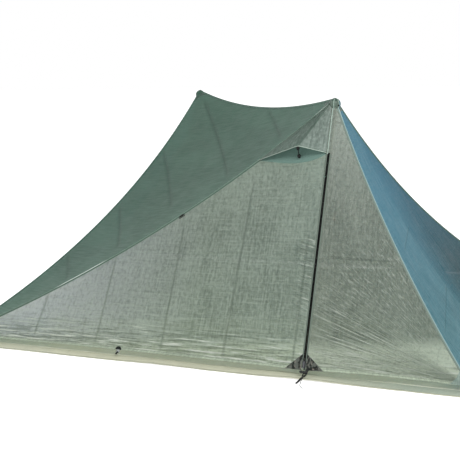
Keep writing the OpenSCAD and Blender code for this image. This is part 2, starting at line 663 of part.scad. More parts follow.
// ==== liner: tub floor and mesh, turned against the fly ====
tub_z = ground_t + gap;
wall_top = tub_z + tub_t + gap + tub_h;
mesh_z = wall_top + gap + mesh_t;
function tub_point(sx, sy, z) = [
    sx * tub_l / 2 * cos(tub_turn) - sy * tub_w / 2 * sin(tub_turn),
    sx * tub_l / 2 * sin(tub_turn) + sy * tub_w / 2 * cos(tub_turn), z];
module tub_floor() {
    color("darkslategray") rotate([0, 0, tub_turn]) translate([-tub_l / 2, -tub_w / 2, tub_z])
        cube([tub_l, tub_w, tub_t]);
}
module tub_walls() {
    color("slategray") rotate([0, 0, tub_turn]) translate([0, 0, tub_z + tub_t + gap]) difference() {
        translate([-tub_l / 2, -tub_w / 2, 0]) cube([tub_l, tub_w, tub_h]);
        translate([-tub_l / 2 + tub_t, -tub_w / 2 + tub_t, -1])
            cube([tub_l - 2 * tub_t, tub_w - 2 * tub_t, tub_h + 2]);
    }
}
mesh_a = peak_a + mesh_back * unit([-sin(tub_turn), cos(tub_turn), 0]) - [0, 0, mesh_drop];
mesh_b = half_turn(mesh_a);
t_fl = tub_point(-1, -1, mesh_z);
t_fr = tub_point(1, -1, mesh_z);
t_bl = half_turn(t_fr);
t_br = half_turn(t_fl);
mn_roof = face_normal(mesh_a, mesh_b, t_fl);
mn_end = face_normal(mesh_a, t_fr, t_br);
mn_wall = face_normal(mesh_a, t_fl, t_fr);
mm_ridge = control(mesh_a, mesh_b, mesh_ridge_sag, [0, 0, -1]);
mm_end = control(mesh_a, t_br, mesh_end_sag, -unit(mn_end + half_turn(mn_roof)));
mm_side = control(mesh_a, t_fr, mesh_side_sag, -unit(mn_end + mn_wall));
function middle(p, q) = (p + q) / 2;
k_mesh_roof = [mesh_a, mesh_b, t_fl, mm_ridge, half_turn(mm_end), middle(mesh_a, t_fl), mn_roof];
k_mesh_end = [mesh_a, t_fr, t_br, mm_side, middle(t_fr, t_br), mm_end, mn_end];
k_mesh_wall = [mesh_a, t_fl, t_fr, middle(mesh_a, t_fl), middle(t_fl, t_fr), mm_side, mn_wall];
mesh_inset = 0.5;
mesh_steps = 6;
module mesh_roof() {
    color("gray") both_halves()
        panel(k_mesh_roof, [mesh_inset, mesh_inset, mesh_inset + mesh_t], mesh_steps, mesh_t);
}
module mesh_ends() {
    color("gray") both_halves() panel(k_mesh_end, [0, mesh_inset, mesh_inset], mesh_steps, mesh_t);
}

// The mesh wall beside each door: a strip along its upper edge, the door, and a fixed triangle
e_wall = shares(k_mesh_wall, inset3(mesh_inset + mesh_t));
g_wall = 1.2;         // half the gap between the inner door and the mesh beside it
w_hinge_top = [0.95, 0.03, 0.02];
w_hinge_low = [0.012, 0.955, 0.033];
w_free_low = [0.012, 0.33, 0.658];
hinge_lift = 3;       // the inner door's hinge line stands off the mesh, outside
e_gap = shares(k_mesh_wall, inset3(g_wall));
module mesh_wall() {
    top = [1 - e_wall[1] - e_wall[2], e_wall[1], e_wall[2]];
    left = [0, 1 - e_wall[2], e_wall[2]];
    right = [0, e_wall[1], 1 - e_wall[1]];
    aside = [0, -2 * e_gap[1], 2 * e_gap[1]];
    strip_sheet(k_mesh_wall, between(top, left, mesh_steps),
        between(w_hinge_top - aside / 4, w_hinge_low - aside / 2, mesh_steps), 1, mesh_t);
    strip_sheet(k_mesh_wall, between(w_hinge_top + aside, w_free_low + aside, mesh_steps),
        between(top + (w_hinge_top - top) / 2, right, mesh_steps), 1, mesh_t);
}
module mesh_door() { tri_sheet(k_mesh_wall, w_hinge_top, w_hinge_low, w_free_low, mesh_steps, mesh_t); }
module mesh_wall_front() { color("silver") mesh_wall(); }
module mesh_wall_rear() { color("silver") turned() mesh_wall(); }
module mesh_door_front() { color("lightgray") mesh_door(); }
module mesh_door_rear() { color("lightgray") turned() mesh_door(); }

// Tabs that hang the mesh peaks from the sockets under the fly peaks
hanger_above = 8;     // the tab starts this far above the socket's mouth
hanger_back = 4;      // and ends this far short of the mesh peak
module mesh_hanger() {
    way = unit([mesh_a.x - peak_a.x, mesh_a.y - peak_a.y, 0]);
    p = peak_a - [0, 0, socket_low - hanger_above] + (socket_d / 2 + 3 * gap) * way;
    q = mesh_a + [0, 0, webbing_t + 2 * gap] - hanger_back * way;
    lay_along(p, q, [0, 0, 1]) translate([0, -hanger_w / 2, -webbing_t / 2])
        cube([norm(q - p), hanger_w, webbing_t]);
}
module mesh_hangers() { color("black") both_halves() mesh_hanger(); }

// ==== groundsheet ====
eyelet_x = ground_l / 2 - eyelet_in;
eyelet_y = ground_w / 2 - eyelet_in;
barrel_d = eyelet_d + 2 * eyelet_ring;
flange_w = 4;
flange_t = 1.2;
eyelet_h = ground_t + gap + flange_t;
module at_eyelets() {
    for (sx = [-1, 1]) for (sy = [-1, 1]) translate([sx * eyelet_x, sy * eyelet_y, 0]) children();
}
module groundsheet() {
    color("darkkhaki") difference() {
        translate([-ground_l / 2, -ground_w / 2, 0]) cube([ground_l, ground_w, ground_t]);
        at_eyelets() translate([0, 0, -1]) cylinder(d = barrel_d + 2 * gap, h = ground_t + 2);
    }
}
module groundsheet_eyelets() {
    color("silver") at_eyelets() difference() {
        union() {
            cylinder(d = barrel_d, h = eyelet_h);
            translate([0, 0, ground_t + gap]) cylinder(d = barrel_d + 2 * flange_w, h = flange_t);
        }
        translate([0, 0, -1]) cylinder(d = eyelet_d, h = eyelet_h + 2);
    }
}

// ==== poles: grip on the ground, tip in the socket under the peak ====
module at_pole() { translate([peak_x, -peak_y, 0]) children(); }
wide_z = ground_t + 9;
wide_bore = wide_d - 2 * wide_wall;
narrow_d = wide_bore - 2 * pole_gap;
wide_top = wide_z + wide_l;
narrow_z = wide_top - pole_overlap;
ferrule_l = 70;
tip_top = peak_height - socket_low + socket_depth - gap;
ferrule_z = peak_height - socket_low - 1 - ferrule_l;
module pole_grip() {
    z0 = ground_t + gap;
    bore = wide_d / 2 + gap / 2;
    at_pole() difference() {
        translate([0, 0, z0]) rotate_extrude() polygon([[0, 0], [grip_d * 0.44, 0], [grip_d / 2, 4],
            [grip_d / 2, 14], [grip_d * 0.42, 26], [grip_d * 0.39, grip_l * 0.4],
            [grip_d * 0.43, grip_l * 0.6], [grip_d * 0.38, grip_l - 12], [grip_d * 0.33, grip_l],
            [0, grip_l]]);
        translate([0, 0, wide_z - gap]) cylinder(r = bore, h = grip_l + 10);
    }
}
module pole_wide() {
    at_pole() difference() {
        translate([0, 0, wide_z]) cylinder(d = wide_d, h = wide_l);
        translate([0, 0, wide_z + 10]) cylinder(d = wide_bore, h = wide_l);
    }
}
clamp_z = wide_top - clamp_h + 4;
clamp_bore = wide_d + 2 * gap;
hinge_out = clamp_d / 2 + 4;
hinge_z = clamp_z + clamp_h - 7;
lever_t = 3.5;
lever_w = 12;
lever_pin_d = 4;
lever_lip = 2;        // finger lip at the lever's free end
ear_t = 3;            // ears of the clamp that hold the lever's pin
ear_h = 10;
ear_gap = 0.4;
module pole_clamp() {
    at_pole() difference() {
        union() {
            translate([0, 0, clamp_z]) cylinder(d = clamp_d, h = clamp_h);
            for (x = [-lever_w / 2 - ear_gap - ear_t, lever_w / 2 + ear_gap])
                translate([x, -hinge_out, hinge_z - ear_h / 2]) cube([ear_t, hinge_out - wide_d / 2, ear_h]);
        }
        translate([0, 0, clamp_z - 1]) cylinder(d = clamp_bore, h = clamp_h + 2);
        translate([-clamp_d, -hinge_out, hinge_z])
            rotate([0, 90, 0]) cylinder(d = lever_pin_d + 2 * gap, h = 2 * clamp_d);
    }
}
module pole_lever() {
    at_pole() translate([0, -hinge_out, hinge_z]) {
        rotate([0, 90, 0]) cylinder(d = lever_pin_d, h = lever_w + 2 * ear_t, center = true);
        translate([-lever_w / 2, -lever_t / 2 - 2 * gap, -lever_l]) cube([lever_w, lever_t, lever_l]);
        translate([-lever_w / 2, -lever_t / 2 - 2 * gap - lever_lip, -lever_l]) cube([lever_w, lever_t, 5]);
    }
}
module pole_narrow() {
    at_pole() difference() {
        translate([0, 0, narrow_z]) cylinder(d = narrow_d, h = ferrule_z - gap - narrow_z);
        translate([0, 0, narrow_z - 1]) cylinder(d = narrow_d - 2.4, h = ferrule_z - narrow_z - 10);
    }
}
module pole_tip() {
    at_pole() translate([0, 0, ferrule_z]) rotate_extrude() polygon([[0, 0], [narrow_d / 2, 0],
        [narrow_d / 2, 6], [tip_d / 2 + 0.8, ferrule_l], [tip_d / 2, ferrule_l],
        [tip_d / 2, tip_top - ferrule_z - 2], [tip_d / 2 - 2, tip_top - ferrule_z],
        [0, tip_top - ferrule_z]]);
}
module pole_grip_front() { color("dimgray") pole_grip(); }
module pole_grip_rear() { color("dimgray") turned() pole_grip(); }
module pole_wide_front() { color("black") pole_wide(); }
module pole_wide_rear() { color("black") turned() pole_wide(); }
module pole_clamp_front() { color("gray") pole_clamp(); }
module pole_clamp_rear() { color("gray") turned() pole_clamp(); }
module pole_lever_front() { color("orange") pole_lever(); }
module pole_lever_rear() { color("orange") turned() pole_lever(); }
module pole_narrow_front() { color("silver") pole_narrow(); }
module pole_narrow_rear() { color("silver") turned() pole_narrow(); }
module pole_tip_front() { color("black") pole_tip(); }
module pole_tip_rear() { color("black") turned() pole_tip(); }

roof_front();
roof_rear();
end_left();
end_right();
door_header_front();
door_header_rear();
door_flap_front();
door_flap_rear();
side_front();
side_rear();
ridge_seam();
panel_seams();
peak_caps();
peak_patches();
corner_patches();
corner_adjusters();
foot_patches();
foot_adjusters();
foot_cord();
zip_tape_fixed_front();
zip_tape_fixed_rear();
zip_tape_flap_front();
zip_tape_flap_rear();
zip_slider_front();
zip_slider_rear();
zip_pull_front();
zip_pull_rear();
vent_hood_front();
vent_hood_rear();
vent_mesh();
vent_strut_front();
vent_strut_rear();
door_toggles();
hem_tie_front();
hem_tie_rear();
tub_floor();
tub_walls();
mesh_roof();
mesh_ends();
mesh_wall_front();
mesh_wall_rear();
mesh_door_front();
mesh_door_rear();
mesh_hangers();
groundsheet();
groundsheet_eyelets();
pole_grip_front();
pole_grip_rear();
pole_wide_front();
pole_wide_rear();
pole_clamp_front();
pole_clamp_rear();
pole_lever_front();
pole_lever_rear();
pole_narrow_front();
pole_narrow_rear();
pole_tip_front();
pole_tip_rear();
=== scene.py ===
# %% [markdown]
# # A two-peak shelter held up by two poles
# Taut, see-through cloth hangs from two peaks. Everything visible is a thin skin, so almost every
# piece here is one surface, worked out as a function of two parameters with numpy. The frame that is
# loaded first holds the exact sizes; the cloth drawn here takes the place of its plain solids.

# %% Load the frame
import bpy
import json
import math
import numpy as np
from mathutils import Matrix


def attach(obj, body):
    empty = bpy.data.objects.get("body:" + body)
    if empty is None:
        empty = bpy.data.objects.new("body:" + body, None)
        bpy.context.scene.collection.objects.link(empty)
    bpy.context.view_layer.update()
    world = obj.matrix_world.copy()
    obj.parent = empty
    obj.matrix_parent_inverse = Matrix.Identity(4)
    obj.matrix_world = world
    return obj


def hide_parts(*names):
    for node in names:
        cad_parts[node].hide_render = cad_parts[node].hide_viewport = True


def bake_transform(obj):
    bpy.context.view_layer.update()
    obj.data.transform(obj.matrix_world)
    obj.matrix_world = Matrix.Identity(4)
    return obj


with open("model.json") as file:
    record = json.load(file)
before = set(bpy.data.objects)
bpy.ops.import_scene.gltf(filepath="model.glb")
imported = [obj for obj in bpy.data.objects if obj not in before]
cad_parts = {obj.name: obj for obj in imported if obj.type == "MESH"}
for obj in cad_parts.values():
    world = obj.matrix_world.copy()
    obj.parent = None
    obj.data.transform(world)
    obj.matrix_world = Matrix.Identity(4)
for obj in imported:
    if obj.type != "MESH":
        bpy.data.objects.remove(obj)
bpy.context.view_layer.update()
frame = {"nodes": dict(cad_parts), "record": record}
nodes = frame["nodes"]

# %% [markdown]
# ## The camera
# A long lens stands low in front of the shelter, a little to the right. It could be aimed with a
# constraint, but a plain matrix keeps the slight roll and needs nothing else in the file. Its columns
# are the lens's right, up and back directions, and its last column is where the lens stands.

# %% Camera
AZ, EL, ROLL = (math.radians(a) for a in (21.563, 10.453, -1.276))
back = np.array([math.sin(AZ) * math.cos(EL), -math.cos(AZ) * math.cos(EL), math.sin(EL)])
right = np.cross(-back, [0, 0, 1])
right /= np.linalg.norm(right)
up = np.cross(right, -back)
right_r = right * math.cos(ROLL) + up * math.sin(ROLL)
up_r = up * math.cos(ROLL) - right * math.sin(ROLL)
aim = np.array([0.00447, -0.47089, 0.52127])
DISTANCE = 4.795185
camera = bpy.data.objects.new("camera", bpy.data.cameras.new("camera"))
bpy.context.scene.collection.objects.link(camera)
camera.data.sensor_fit = "HORIZONTAL"
camera.data.sensor_width = 36
camera.data.lens = 75.344
camera.data.clip_end = 100
spot = aim + DISTANCE * back
camera.matrix_world = Matrix([[right_r[i], up_r[i], back[i], spot[i]] for i in range(3)] + [[0, 0, 0, 1]])
bpy.context.scene.camera = camera
print("camera at", spot.round(3))

# %% [markdown]
# ## Points and directions
# A shelter like this is drawn from a handful of points: two peaks, four pegged corners and the two
# feet of the zips. The rear half is the front half given a half turn about the upright axis, so only
# the front points are typed in.

# %% Corner points
def same(p):
    """The point itself: what is drawn for the front stays there."""
    return p


def half_turn(p):
    """The same point after half a turn about Z: x and y change sign."""
    return np.asarray(p, float) * np.array([-1.0, -1.0, 1.0])


SIDES = (("front", same), ("rear", half_turn))


def unit(v):
    """v divided by its length, for one vector or for rows of them."""
    v = np.asarray(v, float)
    return v / np.linalg.norm(v, axis=-1, keepdims=True)


PEAK = np.array([0.556, -0.510, 1.170])
CORNER_L = np.array([-1.265, -1.020, 0.026])
CORNER_R = np.array([1.265, -1.020, 0.026])
FOOT = np.array([0.556, -1.040, 0.032])
PEAK_B, CORNER_BL, CORNER_BR = half_turn(PEAK), half_turn(CORNER_R), half_turn(CORNER_L)
CLOTH = 0.0012


def face_normal(a, b, c):
    """Unit normal of the flat face through three points, by the right-hand rule."""
    return unit(np.cross(b - a, c - a))


def control(p, q, sag, way):
    """Control point of a quadratic curve from p to q whose middle is sag away from the chord."""
    return (p + q) / 2 + 2 * sag * np.asarray(way)


print("the peaks stand", round(float(np.linalg.norm(PEAK - PEAK_B)), 3), "m apart")

# %% [markdown]
# ## Catenary cuts
# Every seam of a taut shelter is cut as a shallow curve, so that pulling its ends tightens the cloth
# on both sides. Each seam sags halfway between the two faces that it joins.

# %% Seams and panels
N_ROOF = face_normal(PEAK, PEAK_B, CORNER_L)
N_DOOR = face_normal(PEAK, CORNER_L, FOOT)
N_SIDE = face_normal(PEAK, FOOT, CORNER_R)
N_END = face_normal(PEAK, CORNER_R, CORNER_BR)
N_ROOF_REAR = half_turn(N_ROOF)
WAY_RIDGE = -unit(N_ROOF + N_ROOF_REAR)
WAY_DOOR = -unit(N_ROOF + N_DOOR)
WAY_SIDE = -unit(N_SIDE + N_END)
WAY_END = -unit(N_END + N_ROOF_REAR)
M_RIDGE = control(PEAK, PEAK_B, 0.070, WAY_RIDGE)
M_DOOR = control(PEAK, CORNER_L, 0.113, WAY_DOOR)
M_SIDE = control(PEAK, CORNER_R, 0.062, WAY_SIDE)
M_END_R = control(PEAK, CORNER_BR, 0.092, WAY_END)
M_END_L = control(PEAK, CORNER_BR, 0.120, WAY_END)
M_ZIP = (PEAK + FOOT) / 2


def hem_control(p, q):
    """Control point of a hem, which rises 8 mm towards the peak between its two pegs."""
    return control(p, q, 0.008, unit(PEAK - (p + q) / 2))


def panel(kind, seed, a, b, c, ab, bc, ca, normal):
    """One cloth panel: what it is, the seed of its wrinkles, its three corners, the control points of its
    three edges, and its outward normal."""
    return {"kind": kind, "seed": seed, "turn": same, "p": np.array([a, b, c, ab, bc, ca]), "n": normal}


def turned(k, seed=0):
    """The same panel after half a turn about Z, with its own seed."""
    return dict(k, seed=seed, turn=half_turn, p=half_turn(k["p"]), n=half_turn(k["n"]))


HEM_DOOR, HEM_SIDE = hem_control(CORNER_L, FOOT), hem_control(FOOT, CORNER_R)
HEM_END = hem_control(CORNER_R, CORNER_BR)
K_DOOR = panel("door", 21, PEAK, CORNER_L, FOOT, M_DOOR, HEM_DOOR, M_ZIP, N_DOOR)
K_SIDE = panel("side", 31, PEAK, FOOT, CORNER_R, M_ZIP, HEM_SIDE, M_SIDE, N_SIDE)
K_ROOF, roof_other = (panel("roof", 11, PEAK, PEAK_B, CORNER_L, M_RIDGE, half_turn(m), M_DOOR, N_ROOF)
                      for m in (M_END_L, M_END_R))
K_END, end_other = (panel("end", 13, PEAK, CORNER_R, CORNER_BR, M_SIDE, HEM_END, m, N_END)
                    for m in (M_END_R, M_END_L))
K_ROOF_REAR, K_END_LEFT = turned(roof_other, 12), turned(end_other, 14)
K_DOOR_REAR, K_SIDE_REAR = turned(K_DOOR, 22), turned(K_SIDE, 32)


def on_panel(k, w):
    """Quadratic Bezier triangle: the three shares w of the corners weigh corners and edge controls."""
    p, a, b, c = k["p"], w[..., :1], w[..., 1:2], w[..., 2:3]
    return (a * a * p[0] + b * b * p[1] + c * c * p[2]
            + 2 * (a * b * p[3] + b * c * p[4] + c * a * p[5]))


print("roof normal", N_ROOF.round(3), "door normal", N_DOOR.round(3))

# %% [markdown]
# ## Grids that become meshes
# A three-cornered panel gets a three-cornered grid: row i holds i + 1 points. Everything that is a
# band, a tube or a strip gets an ordinary grid. Both are index arithmetic on whole arrays.

# %% Mesh helpers
def grid(a, b):
    """Every value of a with every value of b, as two arrays with a row for each a."""
    return np.meshgrid(a, b, indexing="ij")


def lengths(path):
    """How far along a path of points each of them lies."""
    return np.concatenate([[0], np.cumsum(np.linalg.norm(np.diff(path, axis=0), axis=1))])


def triangle_grid(n):
    """Shares of the corners on row i, place j (i from 0 to n, j up to i), and the faces between them."""
    i, j = np.tril_indices(n + 1)
    w = np.stack([n - i, i - j, j], axis=1) / n
    at = lambda r, s: r * (r + 1) // 2 + s
    i0, j0 = np.tril_indices(n)
    down = np.stack([at(i0, j0), at(i0 + 1, j0), at(i0 + 1, j0 + 1)], axis=1)
    keep = i0 > j0
    i1, j1 = i0[keep], j0[keep]
    flip = np.stack([at(i1, j1), at(i1 + 1, j1 + 1), at(i1, j1 + 1)], axis=1)
    return w, np.concatenate([down, flip])


def grid_faces(rows, cols, wrap=False):
    """Quads between neighbours of a rows by cols grid; with wrap the last column joins the first."""
    r, c = grid(np.arange(rows - 1), np.arange(cols if wrap else cols - 1))
    d = (c + 1) % cols
    return np.stack([r * cols + c, (r + 1) * cols + c, (r + 1) * cols + d, r * cols + d], -1).reshape(-1, 4)


def make_mesh(name, points, faces, uv=None, slots=(), slot_index=None, smooth=True):
    """Mesh object from arrays of points and faces, with one UV pair per point and a material per face."""
    mesh = bpy.data.meshes.new(name)
    faces = np.asarray(faces)
    mesh.vertices.add(len(points))
    mesh.vertices.foreach_set("co", np.asarray(points, np.float32).ravel())
    loops = faces.ravel().astype(np.int32)
    mesh.loops.add(len(loops))
    mesh.loops.foreach_set("vertex_index", loops)
    mesh.polygons.add(len(faces))
    mesh.polygons.foreach_set("loop_start", np.arange(0, len(loops), faces.shape[1], dtype=np.int32))
    mesh.polygons.foreach_set("use_smooth", np.full(len(faces), smooth))
    if uv is not None:
        layer = mesh.uv_layers.new(name="cut")
        layer.uv.foreach_set("vector", np.asarray(uv, np.float32)[loops].ravel())
    if slot_index is not None:
        mesh.polygons.foreach_set("material_index", np.asarray(slot_index, np.int32))
    mesh.update(calc_edges=True)
    mesh.validate()
    for material in slots:
        mesh.materials.append(material)
    piece = bpy.data.objects.new(name, mesh)
    bpy.context.scene.collection.objects.link(piece)
    return piece


def flat_cut(k, points):
    """Metres on the flat panel: u runs along its hem or ridge, v up across it, for weave and creases."""
    u = unit(k["p"][2] - k["p"][1])
    v = np.cross(k["n"], u)
    return np.stack([(points - k["p"][1]) @ u, (points - k["p"][1]) @ v], -1)


print("a 4-row triangle has", len(triangle_grid(4)[1]), "faces")

# %% [markdown]
# ## Materials made of nodes
# Each finish is a small tree of nodes. The cloth is a laminate: thin film with strong fibres laid
# across each other between its two faces, so it shows fine crossed streaks, a soft gloss, and some of
# what is behind it. Patterns follow the piece's own map, whose unit is a metre of cut cloth. Nodes
# could be linked one by one; here a wire adds its own nodes, so that a pattern reads as its formula.

# %% Node helpers
def paint(red, green, blue):
    """A colour given as 0 to 255 in each channel, turned into the linear values that a shader takes."""
    s = np.array([red, green, blue]) / 255
    return tuple(np.where(s <= 0.04045, s / 12.92, ((s + 0.055) / 1.055) ** 2.4)) + (1.0,)


def tinted(colour, times, plus=0.0):
    """A colour whose three channels are multiplied and then raised, none of them above 1."""
    return tuple(min(1.0, c * times + plus) for c in colour[:3]) + (1.0,)


def add(tree, kind, inputs=None, **settings):
    """One node with its settings, and its inputs given as values or as the wires that feed them."""
    node = tree.nodes.new("ShaderNode" + kind)
    for key, value in settings.items():
        setattr(node, key, value)
    for key, value in (inputs or {}).items():
        if isinstance(value, Wire):
            tree.links.new(value.socket, node.inputs[key])
        else:
            node.inputs[key].default_value = value
    return node


class Wire:
    """What one node's output passes on. Each sign or word below adds a node and gives its output."""

    def __init__(self, tree, socket):
        self.tree, self.socket = tree, socket

    def node(self, kind, inputs, output=0, **settings):
        """Any node, in the same tree."""
        return Wire(self.tree, add(self.tree, kind, inputs, **settings).outputs[output])

    def math(self, operation, other=0.0):
        """Math on this value and another."""
        return self.node("Math", {0: self, 1: other}, operation=operation)

    def __add__(self, other):
        return self.math("ADD", other)

    def __sub__(self, other):
        return self.math("SUBTRACT", other)

    def __mul__(self, other):
        return self.math("MULTIPLY", other)

    def ranged(self, low, high, to_low, to_high):
        """The value moved from low..high to to_low..to_high and held there."""
        return self.node("MapRange", {0: self, 1: low, 2: high, 3: to_low, 4: to_high})

    def mix(self, a, b):
        """Colour a blended towards colour b by this share."""
        return self.node("Mix", {0: self, 6: a, 7: b}, 2, data_type="RGBA")

    def parts(self):
        """The first two coordinates of a place."""
        split = add(self.tree, "SeparateXYZ", {0: self})
        return Wire(self.tree, split.outputs[0]), Wire(self.tree, split.outputs[1])

    def streaks(self, across, lengthwise, seed, detail=2.0):
        """Noise squeezed to across cycles per metre one way and lengthwise the other, from 0 to 1."""
        moved = self.node("Mapping", {"Vector": self, "Location": (seed, seed, 0),
                                      "Scale": (across, lengthwise, 1)})
        return self.node("TexNoise", {"Vector": moved, "Scale": 1.0, "Detail": detail, "Roughness": 0.6},
                         noise_dimensions="2D")

    def noise(self, scale, detail):
        """Noise of the same size in all directions, from 0 to 1."""
        return self.node("TexNoise", {"Vector": self, "Scale": scale, "Detail": detail})

    def bump(self, strength):
        """The way a surface faces whose height, in metres, this is."""
        return self.node("Bump", {"Height": self, "Strength": strength, "Distance": 1.0})

    def skin(self, bump, rough, gloss=0.5, metallic=0.0):
        """An opaque shader of this colour."""
        return self.node("BsdfPrincipled", {"Base Color": self, "Normal": bump, "Roughness": rough,
                                            "Specular IOR Level": gloss, "Metallic": metallic})

    def finish(self):
        """Joins this shader to the material's output."""
        self.tree.links.new(self.socket, add(self.tree, "OutputMaterial").inputs["Surface"])


def new_material(name, on_map=True):
    """An empty node material, and the wire that its pattern starts from: the piece's own map, in metres
    of cut cloth, or else the place in the object."""
    material = bpy.data.materials.new(name)
    material.use_nodes = True
    tree = material.node_tree
    tree.nodes.clear()
    if on_map:
        return material, Wire(tree, add(tree, "UVMap", uv_map="cut").outputs["UV"])
    return material, Wire(tree, add(tree, "TexCoord").outputs["Object"])


# %% [markdown]
# ### The laminate
# Three shaders are mixed: a glossy coloured skin, a translucent one that lets light from inside glow
# through, and a little plain transparency so that the liner shows faintly. The fibres could be an
# image, but crossed streaks of noise never repeat and stay sharp at any distance. Creases and folds
# get painted highlights and painted shade in the colour as well as a bump, and slow painted light and
# shade change the tone across a panel.

# %% Laminate cloth
def stitch_mask(uv, lines, pitch=0.0035, width=0.0007):
    """1 on dashes of thread: v within width of one of the lines, and u in the first part of each pitch."""
    u, v = uv.parts()
    near = 0.0
    for line in lines:
        near = (v - line).math("ABSOLUTE").math("LESS_THAN", width).math("MAXIMUM", near)
    return near * u.math("DIVIDE", pitch).math("FRACT").math("LESS_THAN", 0.68)


def fold_mask(uv, folds, width, fade=0.06):
    """1 on the faint lines (u0, v0, u1, v1) that folding left in the cloth, falling to 0 at width from
    them, and over the length fade at their ends."""
    total = 0.0
    for u0, v0, u1, v1 in folds:
        length = math.hypot(u1 - u0, v1 - v0)
        turn = (0, 0, math.atan2(v1 - v0, u1 - u0))
        run, off = uv.node("Mapping", {"Vector": uv, "Location": (u0, v0, 0), "Rotation": turn},
                           vector_type="TEXTURE").parts()
        ends = run.ranged(0.0, fade, 0.0, 1.0) * run.ranged(length - fade, length, 1.0, 0.0)
        total = (off.math("ABSOLUTE").ranged(0.0, width, 1.0, 0.0) * ends).math("MAXIMUM", total)
    return total


def pulled(uv, point, near, far, low, high, waves, cut):
    """Fine folds that run towards a pulled point: waves of noise per radian of the angle about it and cut
    per metre along it, from near to far metres away and between the angles low and high. They lie about
    0, with a little more above than below."""
    u, v = uv.parts()
    du, dv = u - point[0], v - point[1]
    away = (du * du + dv * dv).math("SQRT")
    angle = dv.math("ARCTAN2", du.math("ABSOLUTE"))
    wave = uv.node("CombineXYZ", {0: angle, 1: away}).streaks(waves, cut, 6.0 + point[0], 3.0)
    show = away.ranged(near, near + 0.15, 0.0, 1.0) * away.ranged(far - 0.2, far, 1.0, 0.0)
    show = show * (angle.ranged(low - 0.05, low, 0.0, 1.0) * angle.ranged(high, high + 0.25, 1.0, 0.0))
    return (wave - 0.465) * show


